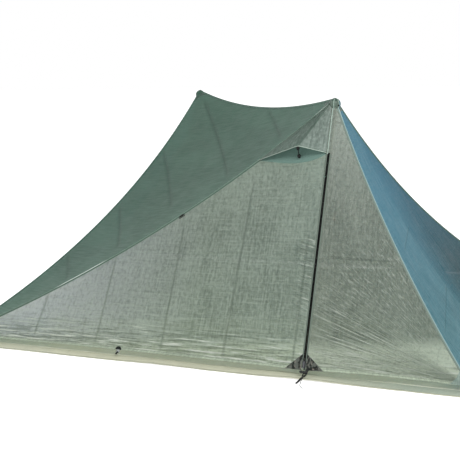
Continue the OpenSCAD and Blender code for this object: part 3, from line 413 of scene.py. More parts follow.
def laminate(name, colour, shade, glow=None, through=0.34, see=0.16, rough=0.36, gloss=0.35, fibre=1.0,
             crinkle=1.0, upright=1.0, hem=0.0, folds=(), crease=(0.006, 0.55), pulls=(), painted_tones=(),
             painted_band=None, puckers=None, lines=(), thread=None):
    """Crossed-fibre laminate.

    colour, shade: its light and dark streaks; glow: the tint of light that comes through
    through, see: the shares of translucent and of clear cloth
    fibre, crinkle, upright, hem: strength of the fibres, the fine creases, the upright ones among them,
    and the level ones along the hem; creases and folds get painted highlights and painted shade
    folds, crease: old fold lines, and the width and darkness of the painted shade along them
    pulls: the places that folds run to
    turning: for each slow change of tone, which is painted light and shade, the axis, two places on it,
    the tone and how far it goes
    glimpse: base, rise, start and tone of a band painted lighter low on the panel, painted light that
    stands for the pale tub seen through the cloth
    puckers: two places on u and two on v between which the zip gathers the cloth
    lines, thread: rows of stitches and their colour"""
    material, uv = new_material(name)
    u, v = uv.parts()
    fine = uv.streaks(150, 8, 0.3) * 1.55 + uv.streaks(8, 150, 5.1) * 0.45
    coarse, crushed = uv.streaks(95, 5, 2.2, 3.0), uv.streaks(74, 52, 8.8, 5.0)
    blotch = uv.streaks(6, 2.2, 1.4, 3.0)
    pale, painted_shade, painted_highlight = tinted(colour, 1.22), tinted(shade, 0.72), tinted(colour, 1.45, 0.03)
    body = fine.ranged(1.0 - 0.3 / fibre, 1.0 + 0.3 / fibre, 0.0, 1.0).mix(shade, colour)
    body = blotch.ranged(0.42, 0.72, 0.0, 0.5).mix(body, pale)
    # Slow changes of tone across the panel: painted light and painted shade
    for axis, start, end, tone, share in painted_tones:
        body = (u, v)[axis].ranged(start, end, share, 0.0).mix(body, tone)
    # A band painted lighter low on the panel: painted light for the pale tub seen through the cloth
    if painted_band:
        base, rise, start, tone = painted_band
        top = u * rise + base + (blotch - 0.5) * 0.03
        under = (v - top).ranged(-0.045, 0.012, 1.0, 0.0) * u.ranged(start, start + 0.3, 0.0, 1.0)
        body = (under * 0.92).mix(body, tone)
    # The fine creases: painted shade in their hollows and painted highlights on their crests
    creased = 0.26 * crinkle * upright
    body = coarse.ranged(0.52, 0.70, 0.0, creased).mix(body, painted_shade)
    body = coarse.ranged(0.46, 0.28, 0.0, creased).mix(body, painted_highlight)
    body = crushed.ranged(0.51, 0.66, 0.0, 0.40 * crinkle).mix(body, painted_shade)
    body = crushed.ranged(0.48, 0.32, 0.0, 0.40 * crinkle).mix(body, painted_highlight)
    height = fine * 0.0004 + coarse * (0.0012 * crinkle * upright) + crushed * (0.0024 * crinkle)
    waves = []
    if hem:
        low = v.ranged(0.0, 0.20, 1.0, 0.0)
        wave = (uv.streaks(6, 104, 4.4, 3.0) - 0.5) * (low * low + 0.12)
        waves.append((wave * 2.6, 0.011 * hem, 3.0 * hem))
    for *where, depth in pulls:
        waves.append((pulled(uv, *where), 0.011 * depth, 2.6 * depth))
    if puckers:
        level = uv.node("CombineXYZ", {0: u, 1: v + u * 0.25}).streaks(12, 92, 1.9, 1.0)
        show = 1.0
        for place, (start, end) in ((u, puckers[:2]), (v, puckers[2:])):
            span = end - start
            show = place.ranged(start, start + 0.3 * span, 0.0, 1.0) * \
                place.ranged(end - 0.1 * span, end, 1.0, 0.0) * show
        waves.append(((level - 0.5) * show, 0.010, 1.1))
    # Each fold gets painted highlights, painted shade and near-white painted glints where it rises most
    for wave, depth, tint in waves:
        height = height + wave * depth
        body = wave.ranged(0.01, 0.16, 0.0, min(1.0, 0.30 * tint)).mix(body, painted_highlight)
        body = wave.ranged(-0.02, -0.16, 0.0, min(1.0, 0.21 * tint)).mix(body, painted_shade)
        body = wave.ranged(0.10, 0.28, 0.0, min(1.0, 0.35 * tint)).mix(body, paint(228, 234, 224))
    # Painted shade along the old fold lines, over their shallow groove
    if folds:
        mask = fold_mask(uv, folds, crease[0])
        body = (mask * crease[1]).mix(body, painted_shade)
        height = height - mask * 0.0012
    if lines:
        mask = stitch_mask(uv, lines)
        body = mask.mix(body, thread)
        height = height + mask * 0.0004
    bump = height.bump(1.0)
    skin = body.skin(bump, fine.ranged(0.8, 1.2, rough + 0.08, rough - 0.06), gloss)
    back_lit = uv.node("BsdfTranslucent", {"Color": glow or tinted(colour, 1.6), "Normal": bump})
    clear = uv.node("BsdfTransparent", {"Color": (0.95, 0.98, 0.96, 1)})
    cloth = uv.node("MixShader", {0: through, 1: skin, 2: back_lit})
    uv.node("MixShader", {0: see, 1: cloth, 2: clear}).finish()
    return material


FOLDS = {
    "roof": [(0.27, 0.83, 0.57, 1.20), (0.09, 0.11, 0.79, 0.96), (0.47, 0.04, 0.98, 0.64),
             (0.92, 0.07, 1.29, 0.51), (1.33, 0.05, 1.55, 0.37)],
    "door": [(1.437, 0.0, 1.452, 0.90), (1.128, 0.0, 1.112, 0.68), (0.784, 0.0, 0.768, 0.50),
             (1.767, 0.0, 1.767, 0.62), (0.44, 0.0, 0.44, 0.30)],
    "side": [(0.02, 0.505, 0.38, 0.515), (-0.02, 1.142, 0.08, 1.143)],
    "end": [(1.03, 0.0, 1.03, 1.15), (1.36, 0.0, 1.36, 0.95), (0.35, 0.582, 0.75, 0.663),
            (0.167, 0.212, 0.70, 0.334), (0.718, 0.23, 0.992, 0.71)]}
THREAD = paint(70, 84, 82)
# All panels are one cloth: the different colours of roof, door, side and end are painted light and shade, and
# so are the light and dark facets painted across the end panel
ROOF_CLOTH = laminate("roof_cloth", paint(77, 110, 95), paint(62, 92, 79), paint(130, 172, 152), see=0.03,
                      crinkle=0.25, folds=FOLDS["roof"], gloss=0.25, crease=(0.018, 0.75))
DOOR_CLOTH = laminate("door_cloth", paint(138, 150, 139), paint(101, 113, 104), paint(206, 216, 196),
                      see=0.07, folds=FOLDS["door"], hem=0.9,
                      painted_tones=((0, 0.35, 1.25, paint(190, 195, 200), 0.86),
                               (1, 0.95, 0.60, paint(160, 174, 160), 0.5)),
                      painted_band=(-0.015, 0.08, 0.45, paint(190, 203, 179)),
                      puckers=(1.725, 1.812, 0.17, 0.62),
                      pulls=(((2.53, 0.0), 0.62, 0.86, 0.12, 0.26, 70, 6, 0.9),), crease=(0.009, 0.6))
SIDE_CLOTH = laminate("side_cloth", paint(117, 125, 115), paint(91, 99, 91), paint(204, 212, 190), see=0.07,
                      folds=FOLDS["side"], hem=0.4, upright=0.3,
                      painted_band=(0.12, 0.12, -0.3, paint(188, 199, 180)),
                      painted_tones=((1, 1.15, 0.75, paint(158, 166, 156), 0.86),), crease=(0.008, 0.6),
                      pulls=(((0.709, 0.0), -0.08, 0.80, -0.02, 0.36, 78, 4, 0.95),
                             ((0.709, 0.0), 0.12, 0.90, 0.38, 1.30, 84, 20, 0.3)))
END_CLOTH = laminate("end_cloth", paint(90, 131, 140), paint(68, 107, 116), paint(50, 150, 180), see=0.04,
                     through=0.26, rough=0.5, crinkle=0.5, folds=FOLDS["end"], hem=0.2, gloss=0.12,
                     painted_tones=((0, 0.69, 0.65, paint(30, 88, 102), 0.6),
                              (0, 1.05, 0.66, paint(6, 44, 44), 0.9),
                              (1, 0.85, 0.20, paint(72, 140, 176), 0.42)))
PATCH_BLACK = laminate("black_patch", paint(26, 32, 30), paint(16, 21, 19), through=0.0, see=0.0, crinkle=0.2,
                       gloss=0.1)
SEAM_CLOTH = laminate("seam_cloth", paint(72, 100, 87), paint(58, 84, 72), through=0.0, see=0.0, gloss=0.1,
                      fibre=0.6, crinkle=0.2, lines=(-0.007, 0.007), thread=THREAD)


def seam_material(name, near, far, crest, foot, glint, wide=1.3):
    """Rolled seam, seen across its map's v: the near panel's tone on one side, the far one's on the
    other, a painted highlight on the crest between them and a painted shadow at the foot beside it.
    Along u the crest lightens to a painted glint here and there; the grain is flecked with the foot's
    dark tone; wide is the crest's width over 4 mm."""
    material, uv = new_material(name)
    v = uv.parts()[1]
    grain = uv.streaks(240, 240, 3.1)
    # Painted glints along the crest
    crest = uv.streaks(2.6, 1, 3.7, 1.0).ranged(0.55, 0.68, 0.0, 1.0).mix(crest, glint)
    body = v.ranged(-0.0012, 0.0012, 0.0, 1.0).mix(near, far)
    body = grain.ranged(0.35, 0.65, 0.0, 0.3).mix(body, foot)
    # Painted shadow at the foot of the roll
    body = (v.ranged(0.0020, 0.0034, 0.0, 1.0) * v.ranged(0.0066, 0.0084, 1.0, 0.0)).mix(body, foot)
    # Painted highlight on the crest
    body = (v + 0.0008).math("ABSOLUTE").ranged(0.0012 * wide, 0.0022 * wide, 1.0, 0.0).mix(body, crest)
    body.skin((grain * 0.0004).bump(1.0), 0.5, 0.2).finish()
    return material


SEAM_MAIN = seam_material("seam_main", paint(76, 104, 90), paint(112, 128, 116), paint(98, 124, 110),
                          paint(58, 82, 70), paint(224, 234, 228))
SEAM_PALE = seam_material("seam_pale", paint(118, 130, 118), paint(46, 104, 122), paint(136, 164, 164),
                          paint(34, 84, 100), paint(170, 198, 198), 0.65)
TRIM_CLOTH = laminate("trim_cloth", paint(150, 170, 158), paint(118, 140, 130), through=0.05, see=0.0,
                      fibre=0.6, crinkle=0.2)
HEM_CLOTH = laminate("hem_cloth", paint(160, 172, 152), paint(128, 140, 122), through=0.1, see=0.0,
                     fibre=0.6, crinkle=0.9, lines=(0.010,), thread=THREAD)
print("materials", [m.name for m in bpy.data.materials][:6])

# %% [markdown]
# ## Folds in the cloth
# Taut cloth is never quite smooth. It keeps faint lines where it was folded in its bag, it puckers
# along the zip and the hems, and folds spread from each point that is pulled. All of these are small
# moves along the panel's normal, and they fade out at the seams so that neighbours still meet.

# %% Relief functions
def smooth_step(x):
    """0 below 0, 1 above 1, and 3x^2 - 2x^3 between."""
    x = np.clip(x, 0, 1)
    return x * x * (3 - 2 * x)


def ripples(u, v, seed, per_u, per_v, count=28):
    """Sum of count seeded sine waves whose cycles per metre spread by per_u and per_v; about -1 to 1."""
    rng = np.random.default_rng(seed)
    ku, kv = rng.normal(0, per_u, count), rng.normal(0, per_v, count)
    phase = rng.uniform(0, 2 * np.pi, count)
    angle = 2 * np.pi * (np.outer(u, ku) + np.outer(v, kv)) + phase
    return np.sin(angle).sum(1) / math.sqrt(count)


def crease(u, v, line, width):
    """Soft ridge of height 1 along the line (u0, v0, u1, v1): exp of minus the distance over width."""
    a, b = np.array(line[:2]), np.array(line[2:])
    length = np.linalg.norm(b - a)
    way = (b - a) / length
    s = (u - a[0]) * way[0] + (v - a[1]) * way[1]
    d = np.abs((u - a[0]) * way[1] - (v - a[1]) * way[0])
    return np.exp(-d / width) * smooth_step(s / 0.1) * smooth_step((length - s) / 0.1)


def fan(u, v, centre, seed, reach, count=9):
    """Folds that spread from a pulled point: waves of the angle about it, strongest at a third of reach."""
    du, dv = u - centre[0], v - centre[1]
    rng = np.random.default_rng(seed)
    k, phase = rng.uniform(0.4, 1.6, count) * 30, rng.uniform(0, 2 * np.pi, count)
    wave = np.sin(np.outer(np.arctan2(dv, du), k) + phase).sum(1) / math.sqrt(count)
    x = np.hypot(du, dv) / reach
    return wave * (x * np.exp(1 - 3 * x) * 3)


def heights(k):
    """Distance of each corner from the opposite edge of the flat panel."""
    a, b, c = k["p"][:3]
    area = np.linalg.norm(np.cross(b - a, c - a))
    return area / np.array([np.linalg.norm(c - b), np.linalg.norm(a - c), np.linalg.norm(b - a)])


def seam_fade(k, w, hem_corner=None, reach=0.035):
    """0 on each seam and 1 beyond reach from it; the hem opposite hem_corner is left free."""
    d = w * heights(k)
    f = smooth_step(d / reach)
    if hem_corner is not None:
        f[:, hem_corner] = 1
    return f.prod(1)


def relief(k, w, points):
    """Height of the cloth above its smooth surface, in metres, for a roof, door, side or end panel.
    The size of a sum of waves has sharp valleys between round crests, as creased film has."""
    u, v = flat_cut(k, points).T
    kind, seed = k["kind"], k["seed"]
    h = 0.0008 * ripples(u, v, seed, 2.5, 2.5)
    for line in FOLDS[kind]:
        h = h - 0.0012 * crease(u, v, line, 0.006)
    if kind == "roof":
        h = h + 0.0006 * ripples(u, v, seed + 1, 1.0, 5.0)
        return h * seam_fade(k, w)
    hem = w[:, 0] * heights(k)[0]
    low = np.exp(-hem / 0.12)
    level = np.abs(ripples(u, v, seed + 2, 1.6, 16.0)) + 0.5 * np.abs(ripples(u, v, seed + 9, 3.5, 26.0))
    h = h + 0.0026 * low * level
    if kind == "door":
        h = h + 0.0008 * (1 - low) * np.abs(ripples(u, v, seed + 8, 12.0, 1.6))
        zip_off = w[:, 1] * heights(k)[1]
        along = smooth_step((v - 0.10) / 0.1) * smooth_step((0.62 - v) / 0.1)
        h = h + 0.0020 * along * np.exp(-zip_off / 0.035) * np.abs(ripples(u, v, seed + 3, 6.0, 26.0))
        tie = flat_cut(k, (k["p"][1] + k["p"][2]) / 2)
        h = h * (1 - np.exp(-((u - tie[0]) ** 2 + (v - tie[1]) ** 2) / 0.035 ** 2))
    corner = flat_cut(k, k["p"][2 if kind == "side" else 1])
    h = h + 0.0009 * fan(u, v, corner, seed + 5, 0.9)
    return h * seam_fade(k, w, 0)


def lifted(k, w):
    """Points of the finished cloth for shares w, with its folds."""
    points = on_panel(k, w)
    return points + relief(k, w, points)[:, None] * k["n"]


print("door panel stands", heights(K_DOOR).round(3), "m off its edges")

# %% [markdown]
# ## Roof and end panels
# The roof falls from the ridge to the pegged corners at the back of each door, and an end panel
# closes each side. They could be flat plates, but the curved seams would show at once, so each is a
# curved triangle whose three edges are the seams themselves.

# %% Whole panels with their hems
def edge_shares(k, a, b, along, inward):
    """Shares of points at the places along the edge from corner a to b, inward metres from it."""
    share = inward / heights(k)[3 - a - b]
    w = np.zeros((len(along), 3))
    w[:, 3 - a - b], w[:, a], w[:, b] = share, (1 - share) * (1 - along), (1 - share) * along
    return w


def halves(faces):
    """Quads as triangles: the first half of every quad, then the second half of every quad."""
    faces = np.asarray(faces)
    return faces if faces.shape[1] == 3 else np.concatenate([faces[:, [0, 1, 2]], faces[:, [0, 2, 3]]])


def facing(points, faces, normal, judged=slice(None)):
    """The same faces, turned round if most of the judged ones look away from normal."""
    p = points[faces[judged]]
    n = np.cross(p[:, 1] - p[:, 0], p[:, 2] - p[:, 0]).sum(0)
    return faces if n @ normal > 0 else faces[:, ::-1]


def join_parts(parts):
    """Joins (points, faces, uv, slot) parts into one mesh of triangles; slot is one number, or one for
    every face of the part."""
    faces, slot, base = [], [], 0
    for p, f, _, s in parts:
        faces.append(halves(f) + base)
        slot.append(np.resize(s, len(faces[-1])))
        base += len(p)
    return (np.concatenate([p[0] for p in parts]), np.concatenate(faces),
            np.concatenate([p[2] for p in parts]), np.concatenate(slot))


def fasten(piece, body, replaced):
    """The piece rides on body, stands for the replaced nodes and takes its finish from the slot."""
    if body:
        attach(piece, body)
    if replaced:
        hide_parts(*replaced)
    print(piece.name, len(piece.data.polygons), "faces")
    return piece


def joined(name, parts, materials, body, replaced):
    """One object from several parts."""
    points, faces, uv, slot_index = join_parts(parts)
    return fasten(make_mesh(name, points, faces, uv, materials, slot_index), body, replaced)


def triangle_part(k, w, faces, rise=0.0):
    """Cloth of panel k over a three-cornered grid, as a part."""
    points = lifted(k, w) + rise * k["n"]
    return points, facing(points, faces, k["n"]), flat_cut(k, points), 0


def hem_strip(k, a, b, rows=160, turn_in=0.014):
    """Folded hem along the edge from corner a to b: out over the edge, round it, and back inside.
    Each row of the strip is the hem's cross-section, carried along the edge."""
    inward = np.array([turn_in, turn_in - 0.0006, 0.004, 0.0008, 0.0, 0.0008, 0.006, turn_in - 0.001])
    rise = np.array([0.0001, 0.0008, 0.0009, 0.0007, 0.0, -0.0007, -0.0009, -0.0008])
    t, col = (a.ravel() for a in grid(np.linspace(0.001, 0.999, rows), np.arange(len(inward))))
    inward, rise = inward[col], rise[col]
    w = edge_shares(k, a, b, t, inward)
    points = lifted(k, w) + rise[:, None] * k["n"]
    uv = np.stack([t * np.linalg.norm(k["p"][b] - k["p"][a]), inward * np.where(rise < 0, -1, 1)], -1)
    return points, facing(points, grid_faces(rows, len(col) // rows), k["n"]), uv, 1


def cloth_panel(name, k, material, node, hem, n):
    """A whole panel as a three-cornered grid, with its hem where it has one, in place of its node."""
    parts = [triangle_part(k, *triangle_grid(n))] + ([hem_strip(k, *hem)] if hem else [])
    piece = joined(name, parts, (material, HEM_CLOTH), "shelter", (node,))
    size = np.ptp(flat_cut(k, join_parts(parts)[0]), axis=0)
    cut_area(k)
    print(name, "cut", size.round(3))


def cut_area(k):
    """Area of the flat triangle between the panel's corners, in square metres."""
    a, b, c = k["p"][:3]
    return float(np.linalg.norm(np.cross(b - a, c - a)) / 2)


cloth_panel("fly_roof_front", K_ROOF, ROOF_CLOTH, "roof_front", None, 270)
cloth_panel("fly_roof_rear", K_ROOF_REAR, ROOF_CLOTH, "roof_rear", None, 200)
cloth_panel("fly_end_right", K_END, END_CLOTH, "end_right", (1, 2), 270)
cloth_panel("fly_end_left", K_END_LEFT, END_CLOTH, "end_left", (1, 2), 200)

# %% [markdown]
# ## Door and the panel beside it
# The door panel runs from the vent down to the hem and opens about a slanting fold. On the real thing
# the same cloth goes on above and below that fold, so it is made as one sheet here instead of being
# cut there. Its grid has four sides: seam, vent, zip and hem.

# %% Door panels
ZIP_L = float(np.linalg.norm(PEAK - FOOT))
ZIP_UP = (PEAK - FOOT) / ZIP_L
ZIP_OUT = np.array([0, -ZIP_UP[2], ZIP_UP[1]])
ZIP_EDGE = 0.0115
VENT, FOLD, FOLD_HEM = 0.79, 0.70, 0.90
EDGE = ZIP_EDGE / heights(K_DOOR)[1]
W_VENT_SEAM, W_VENT_ZIP = np.array([VENT, 1 - VENT, 0]), np.array([VENT, EDGE, 1 - VENT - EDGE])
W_FOOT, W_CORNER = np.array([0, EDGE, 1 - EDGE]), np.array([0, 1.0, 0])


def door_spot(*w):
    """The point of the front door panel at one set of shares."""
    return on_panel(K_DOOR, np.array(w, float))


FOLD_A, FOLD_B = door_spot(FOLD, EDGE, 1 - FOLD - EDGE), door_spot(0, FOLD_HEM, 1 - FOLD_HEM)
FOLD_WAY = unit(FOLD_B - FOLD_A)
FOLD_DOWN = unit((FOOT - FOLD_A) - ((FOOT - FOLD_A) @ FOLD_WAY) * FOLD_WAY)


def droop(t):
    """How far the vent's lower edge hangs below a straight line, as a share of the door's height."""
    return 0.034 * np.sin(np.pi * np.clip(t, 0, 1) ** 0.62) ** 1.3


def door_shares(s, t):
    """Shares on the door cloth: s runs from the vent (0) to the hem (1), t from the zip (0) to the seam
    (1), and each is a column."""
    return (1 - t) * ((1 - s) * W_VENT_ZIP + s * W_FOOT) + t * ((1 - s) * W_VENT_SEAM + s * W_CORNER)


def door_sheet(name, k, replaced, rows, cols):
    """The door cloth with its hem, in one sheet across the line where the flap folds back."""
    s, t = (a.reshape(-1, 1) for a in grid(np.linspace(0, 1, rows), np.linspace(0, 1, cols)))
    points = lifted(k, door_shares(s + (1 - s) ** 3 * droop(t), t))
    sheet = points, facing(points, grid_faces(rows, cols), k["n"]), flat_cut(k, points), 0
    piece = joined(name, [sheet, hem_strip(k, 2, 1)], (DOOR_CLOTH, HEM_CLOTH), None, replaced)
    start, end = (k["turn"](FOLD_A + step * FOLD_DOWN) for step in (-0.03, 0.03))
    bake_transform(piece)
    cut_area(k) * (1 - (1 - VENT) ** 2)


def placket(k, rows=60):
    """Strip of cloth that closes the way above the zip's end: 25 mm wide, narrowing to nothing at the
    peak, with the roll of the hood's seam along its left third."""
    across = np.array([-0.0125, -0.0118, -0.0085, -0.0072, -0.0060, -0.0048, -0.0035, 0.002, 0.008,
                       0.0122, 0.0128])
    rise = np.array([0.0000, 0.0012, 0.0013, 0.0018, 0.0024, 0.0018, 0.0012, 0.0010, 0.0010, 0.0009, 0.0000])
    z, i = grid(np.linspace(VENT * ZIP_L - 0.006, ZIP_L - 0.002, rows), np.arange(len(rise)))
    narrow = np.minimum(1, (ZIP_L - z) / 0.05)
    points = FOOT + (across[i] * narrow)[..., None] * np.array([1.0, 0, 0])
    points = points + z[..., None] * ZIP_UP + rise[i][..., None] * ZIP_OUT
    points = k["turn"](points.reshape(-1, 3))
    uv = np.stack([z.ravel(), across[i].ravel() + 0.9], -1)
    roll = 2 * np.tile((across[:-1] > -0.0080) & (across[:-1] < -0.0040), rows - 1).astype(int)
    return points, facing(points, grid_faces(rows, len(rise)), k["n"]), uv, roll


def side_sheet(name, k, node, n):
    """The panel between the zip and the next seam, whole from the peak to its hem."""
    w, faces = triangle_grid(n)
    edge = ZIP_EDGE / heights(K_SIDE)[2]
    w = w @ np.array([[1 - edge, 0, edge], [0, 1 - edge, edge], [0, 0, 1.0]])
    parts = [triangle_part(k, w, faces), hem_strip(k, 1, 2), placket(k)]
    piece = joined(name, parts, (SIDE_CLOTH, HEM_CLOTH, TRIM_CLOTH), "shelter", (node,))
    cut_area(k)


door_sheet("fly_door_front", K_DOOR, ("door_header_front", "door_flap_front"), 230, 320)
door_sheet("fly_door_rear", K_DOOR_REAR, ("door_header_rear", "door_flap_rear"), 170, 240)
side_sheet("fly_side_front", K_SIDE, "side_front", 250)
side_sheet("fly_side_rear", K_SIDE_REAR, "side_rear", 180)

# %% [markdown]
# ## Seams
# Neighbouring panels are sewn edge to edge, and the seam is folded flat to one side and covered by a
# bonded tape. Its cross-section is a flat band with a small roll where the panels meet. The same
# cross-section is carried along every seam: a profile swept along a path.

# %% Seam bands
BAND = np.array([-0.0105, -0.0100, -0.0062, -0.0024, -0.0013, 0.0, 0.0013, 0.0024, 0.0062, 0.0100, 0.0105])
BAND_RISE = np.array([0.0001, 0.0008, 0.0010, 0.0018, 0.0034, 0.0040, 0.0034, 0.0014, 0.0009, 0.0008, 0.0001])


def seam_band(k1, e1, k2, e2, rows=150, trim=0.004):
    """Band over the seam that panels k1 and k2 share: BAND gives each column's distance from the seam,
    below 0 on k1 and above 0 on k2, and BAND_RISE how far it stands off the cloth."""
    t = np.linspace(trim, 1 - trim, rows)
    middle = unit(k1["n"] + k2["n"])
    columns = []
    for off, rise in zip(BAND, BAND_RISE):
        k, e = (k1, e1) if off < 0 else (k2, e2)
        on_cloth = on_panel(k, edge_shares(k, *e, t, np.full(rows, abs(off))))
        columns.append(on_cloth + rise * (middle if abs(off) < 0.0014 else k["n"]))
    points = np.stack(columns, 1)
    uv = np.stack(np.broadcast_arrays(lengths(points[:, 5])[:, None], BAND[None, :]), -1).reshape(-1, 2)
    points = points.reshape(-1, 3)
    return points, facing(points, grid_faces(rows, len(BAND)), middle), uv, 0


for name, edges, material, node in (
        ("ridge_band", [(K_ROOF, (0, 1), K_ROOF_REAR, (1, 0))], SEAM_CLOTH, ("ridge_seam",)),
        ("seams", [(K_ROOF, (0, 2), K_DOOR, (0, 1)), (K_ROOF_REAR, (0, 2), K_DOOR_REAR, (0, 1))],
         SEAM_MAIN, ("panel_seams",)),
        ("end_seams", [(K_END, (0, 2), K_ROOF_REAR, (1, 2)), (K_END_LEFT, (0, 2), K_ROOF, (1, 2))],
         SEAM_CLOTH, ()),
        ("side_seams", [(K_SIDE, (0, 2), K_END, (0, 1)), (K_SIDE_REAR, (0, 2), K_END_LEFT, (0, 1))],
         SEAM_PALE, ())):
    piece = joined(name, [seam_band(*edge) for edge in edges], (material,), "shelter", ())
    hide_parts(*node)

# %% [markdown]
# ## Vent hood
# At the top of each door a hood stands off the cloth. A strut pushes out one corner of its stiffened
# edge, so it has a fold from the peak down to that corner. The height at any point is the smaller of
# two straight slopes, which gives the fold; a rounded minimum keeps it as soft as cloth.

# %% Hood surface
VENT_LIFT, VENT_DRAW, VENT_CORNER = 0.080, 0.024, 0.62
W_TOP = np.array([1 - EDGE, EDGE, 0.0])
DRAW_WAY = unit(PEAK - (door_spot(*W_VENT_SEAM) + door_spot(*W_VENT_ZIP)) / 2)
PUSH = VENT_LIFT * N_DOOR + VENT_DRAW * DRAW_WAY


def soft_min(a, b, width=0.06):
    """Smaller of a and b with the corner between them rounded over width."""
    return 0.5 * (a + b - np.sqrt((a - b) ** 2 + width ** 2)) + 0.25 * width


def hood_points(k, r, c, rise):
    """Hood at share r from the peak (0) to the free edge (1) and c from the seam (0) to the zip (1)."""
    r, c = r.ravel(), c.ravel()
    w = np.outer(1 - r, W_TOP) + np.outer(r * (1 - c), W_VENT_SEAM) + np.outer(r * c, W_VENT_ZIP)
    part = r * np.clip(soft_min(c / VENT_CORNER, (1 - c) / (1 - VENT_CORNER)), 0, 1)
    part = np.where((c <= 0) | (c >= 1), 0, part)
    sag = 0.004 * np.sin(np.pi * np.clip(r, 0, 1)) * np.sin(2 * np.pi * c) ** 2
    pull = 0.0016 * np.sin(np.pi * c) * np.sin(c * 46 + 3 * r) * smooth_step(r * 2.5) * (1 - 0.6 * r)
    return on_panel(k, w) + part[:, None] * k["turn"](PUSH) + (rise + pull - sag)[:, None] * k["n"]


def vent_hood(side, k, rows=60, cols=91):
    """The hood's cloth, with a stiffened band along its free edge that turns under, and painted shade on
    the facet between the seam and the strut's corner.
    """
    r, c = grid(np.linspace(0.01, 1, rows), np.linspace(0, 1, cols))
    top = hood_points(k, r, c, 0.0016)
    band_r = np.array([0.988, 0.989, 0.992, 0.997, 1.0, 1.001, 1.0, 0.99, 0.97])
    band_rise = np.array([0.0018, 0.0030, 0.0034, 0.0033, 0.0026, 0.0012, 0.0000, -0.0004, -0.0002])
    r, c = grid(band_r, np.linspace(0.0, 1.0, cols))
    band = hood_points(k, r, c, np.repeat(band_rise, cols))
    width = np.linalg.norm(W_VENT_SEAM - W_VENT_ZIP) * 1.2
    band_uv = np.stack([c.ravel() * width, (r.ravel() - 0.95) * 0.26], -1)
    outer = slice(2 * (cols - 1) * 3)
    faces = facing(band, halves(grid_faces(len(band_r), cols)), k["n"], outer)
    # The facet from the seam to the strut's corner takes HOOD_SHADE, a painted shaded copy of the cloth
    shaded = np.where(np.tile(np.arange(cols - 1), rows - 1) < VENT_CORNER * (cols - 1), 2, 0)
    parts = [(top, facing(top, grid_faces(rows, cols), k["n"]), flat_cut(k, top), shaded),
             (band, faces, band_uv, 1)]
    piece = joined("hood_" + side, parts, (HOOD_CLOTH, HOOD_EDGE, HOOD_SHADE), "shelter",
                   ("vent_hood_" + side,))


HOOD_CLOTH = laminate("hood_cloth", paint(132, 146, 137), paint(96, 110, 102), paint(150, 172, 162), see=0.08,
                      through=0.36)
# Painted shade: the hood's cloth darker, for the facet that faces away from the light
HOOD_SHADE = laminate("hood_shade", paint(98, 116, 105), paint(74, 92, 82), paint(128, 152, 142), see=0.06,
                      through=0.36)
HOOD_EDGE = laminate("hood_edge", paint(170, 186, 174), paint(138, 154, 144), through=0.1, see=0.0, fibre=0.5,
                     crinkle=0.3)
vent_hood("front", K_DOOR)
vent_hood("rear", K_DOOR_REAR)

# %% [markdown]
# ## Reinforcement patches
# Wherever a corner is pulled, a second layer of stiffer cloth is bonded over the first. A patch is a
# small three-cornered piece of the panel's own surface, raised by its thickness and thinned out at its
# edges, with its free edge cut in a shallow arc.

# %% Patches
def patch_shares(k, corner, reach_a, reach_b, n, hollow):
    """Shares of a patch at a corner: reach_a and reach_b metres along the two edges; the free edge is
    drawn in by hollow of its distance at its middle."""
    a, b = (corner + 1) % 3, (corner + 2) % 3
    w, faces = triangle_grid(n)
    out = 1 - w[:, 0]
    side = w[:, 2] / np.maximum(out, 1e-9)
    r = out * (1 - hollow * np.sin(np.pi * side))
    p = k["p"]
    shares = np.zeros_like(w)
    shares[:, a] = r * (1 - side) * (reach_a / np.linalg.norm(p[a] - p[corner]))
    shares[:, b] = r * side * (reach_b / np.linalg.norm(p[b] - p[corner]))
    shares[:, corner] = 1 - shares[:, a] - shares[:, b]
    rim = np.minimum(np.minimum(1 - side, side) * r, 1 - out) * min(reach_a, reach_b)
    return shares, faces, rim


def patch_part(k, corner, reach_a, reach_b, keep_off=0.0, rise=0.0012, hollow=0.12):
    """One patch as a part: its rim lies on the cloth and its middle stands rise above it. keep_off
    metres are left free along the zip."""
    w, faces, rim = patch_shares(k, corner, reach_a, reach_b, 26, hollow)
    if keep_off:
        side = 1 if k["kind"] == "door" else 2
        w[:, side] = np.maximum(w[:, side], keep_off / heights(k)[side])
        w[:, 0] = np.maximum(0, w[:, 0])
        w /= w.sum(1, keepdims=True)
    return triangle_part(k, w, faces, (rise * (0.25 + 0.75 * smooth_step(rim / 0.002)))[:, None])


def mottled(name):
    """Tough patch cloth printed in soft blots of three greys, with a woven grain."""
    material, uv = new_material(name)
    body = uv.streaks(60, 34, 3.3).ranged(0.46, 0.52, 0, 1).mix(paint(30, 34, 31), paint(84, 88, 82))
    body = uv.streaks(110, 80, 7.7).ranged(0.62, 0.66, 0, 0.7).mix(body, paint(128, 122, 113))
    body.skin((uv.streaks(900, 900, 1.1) * 0.0003).bump(0.6), 0.75, 0.15).finish()
    return material


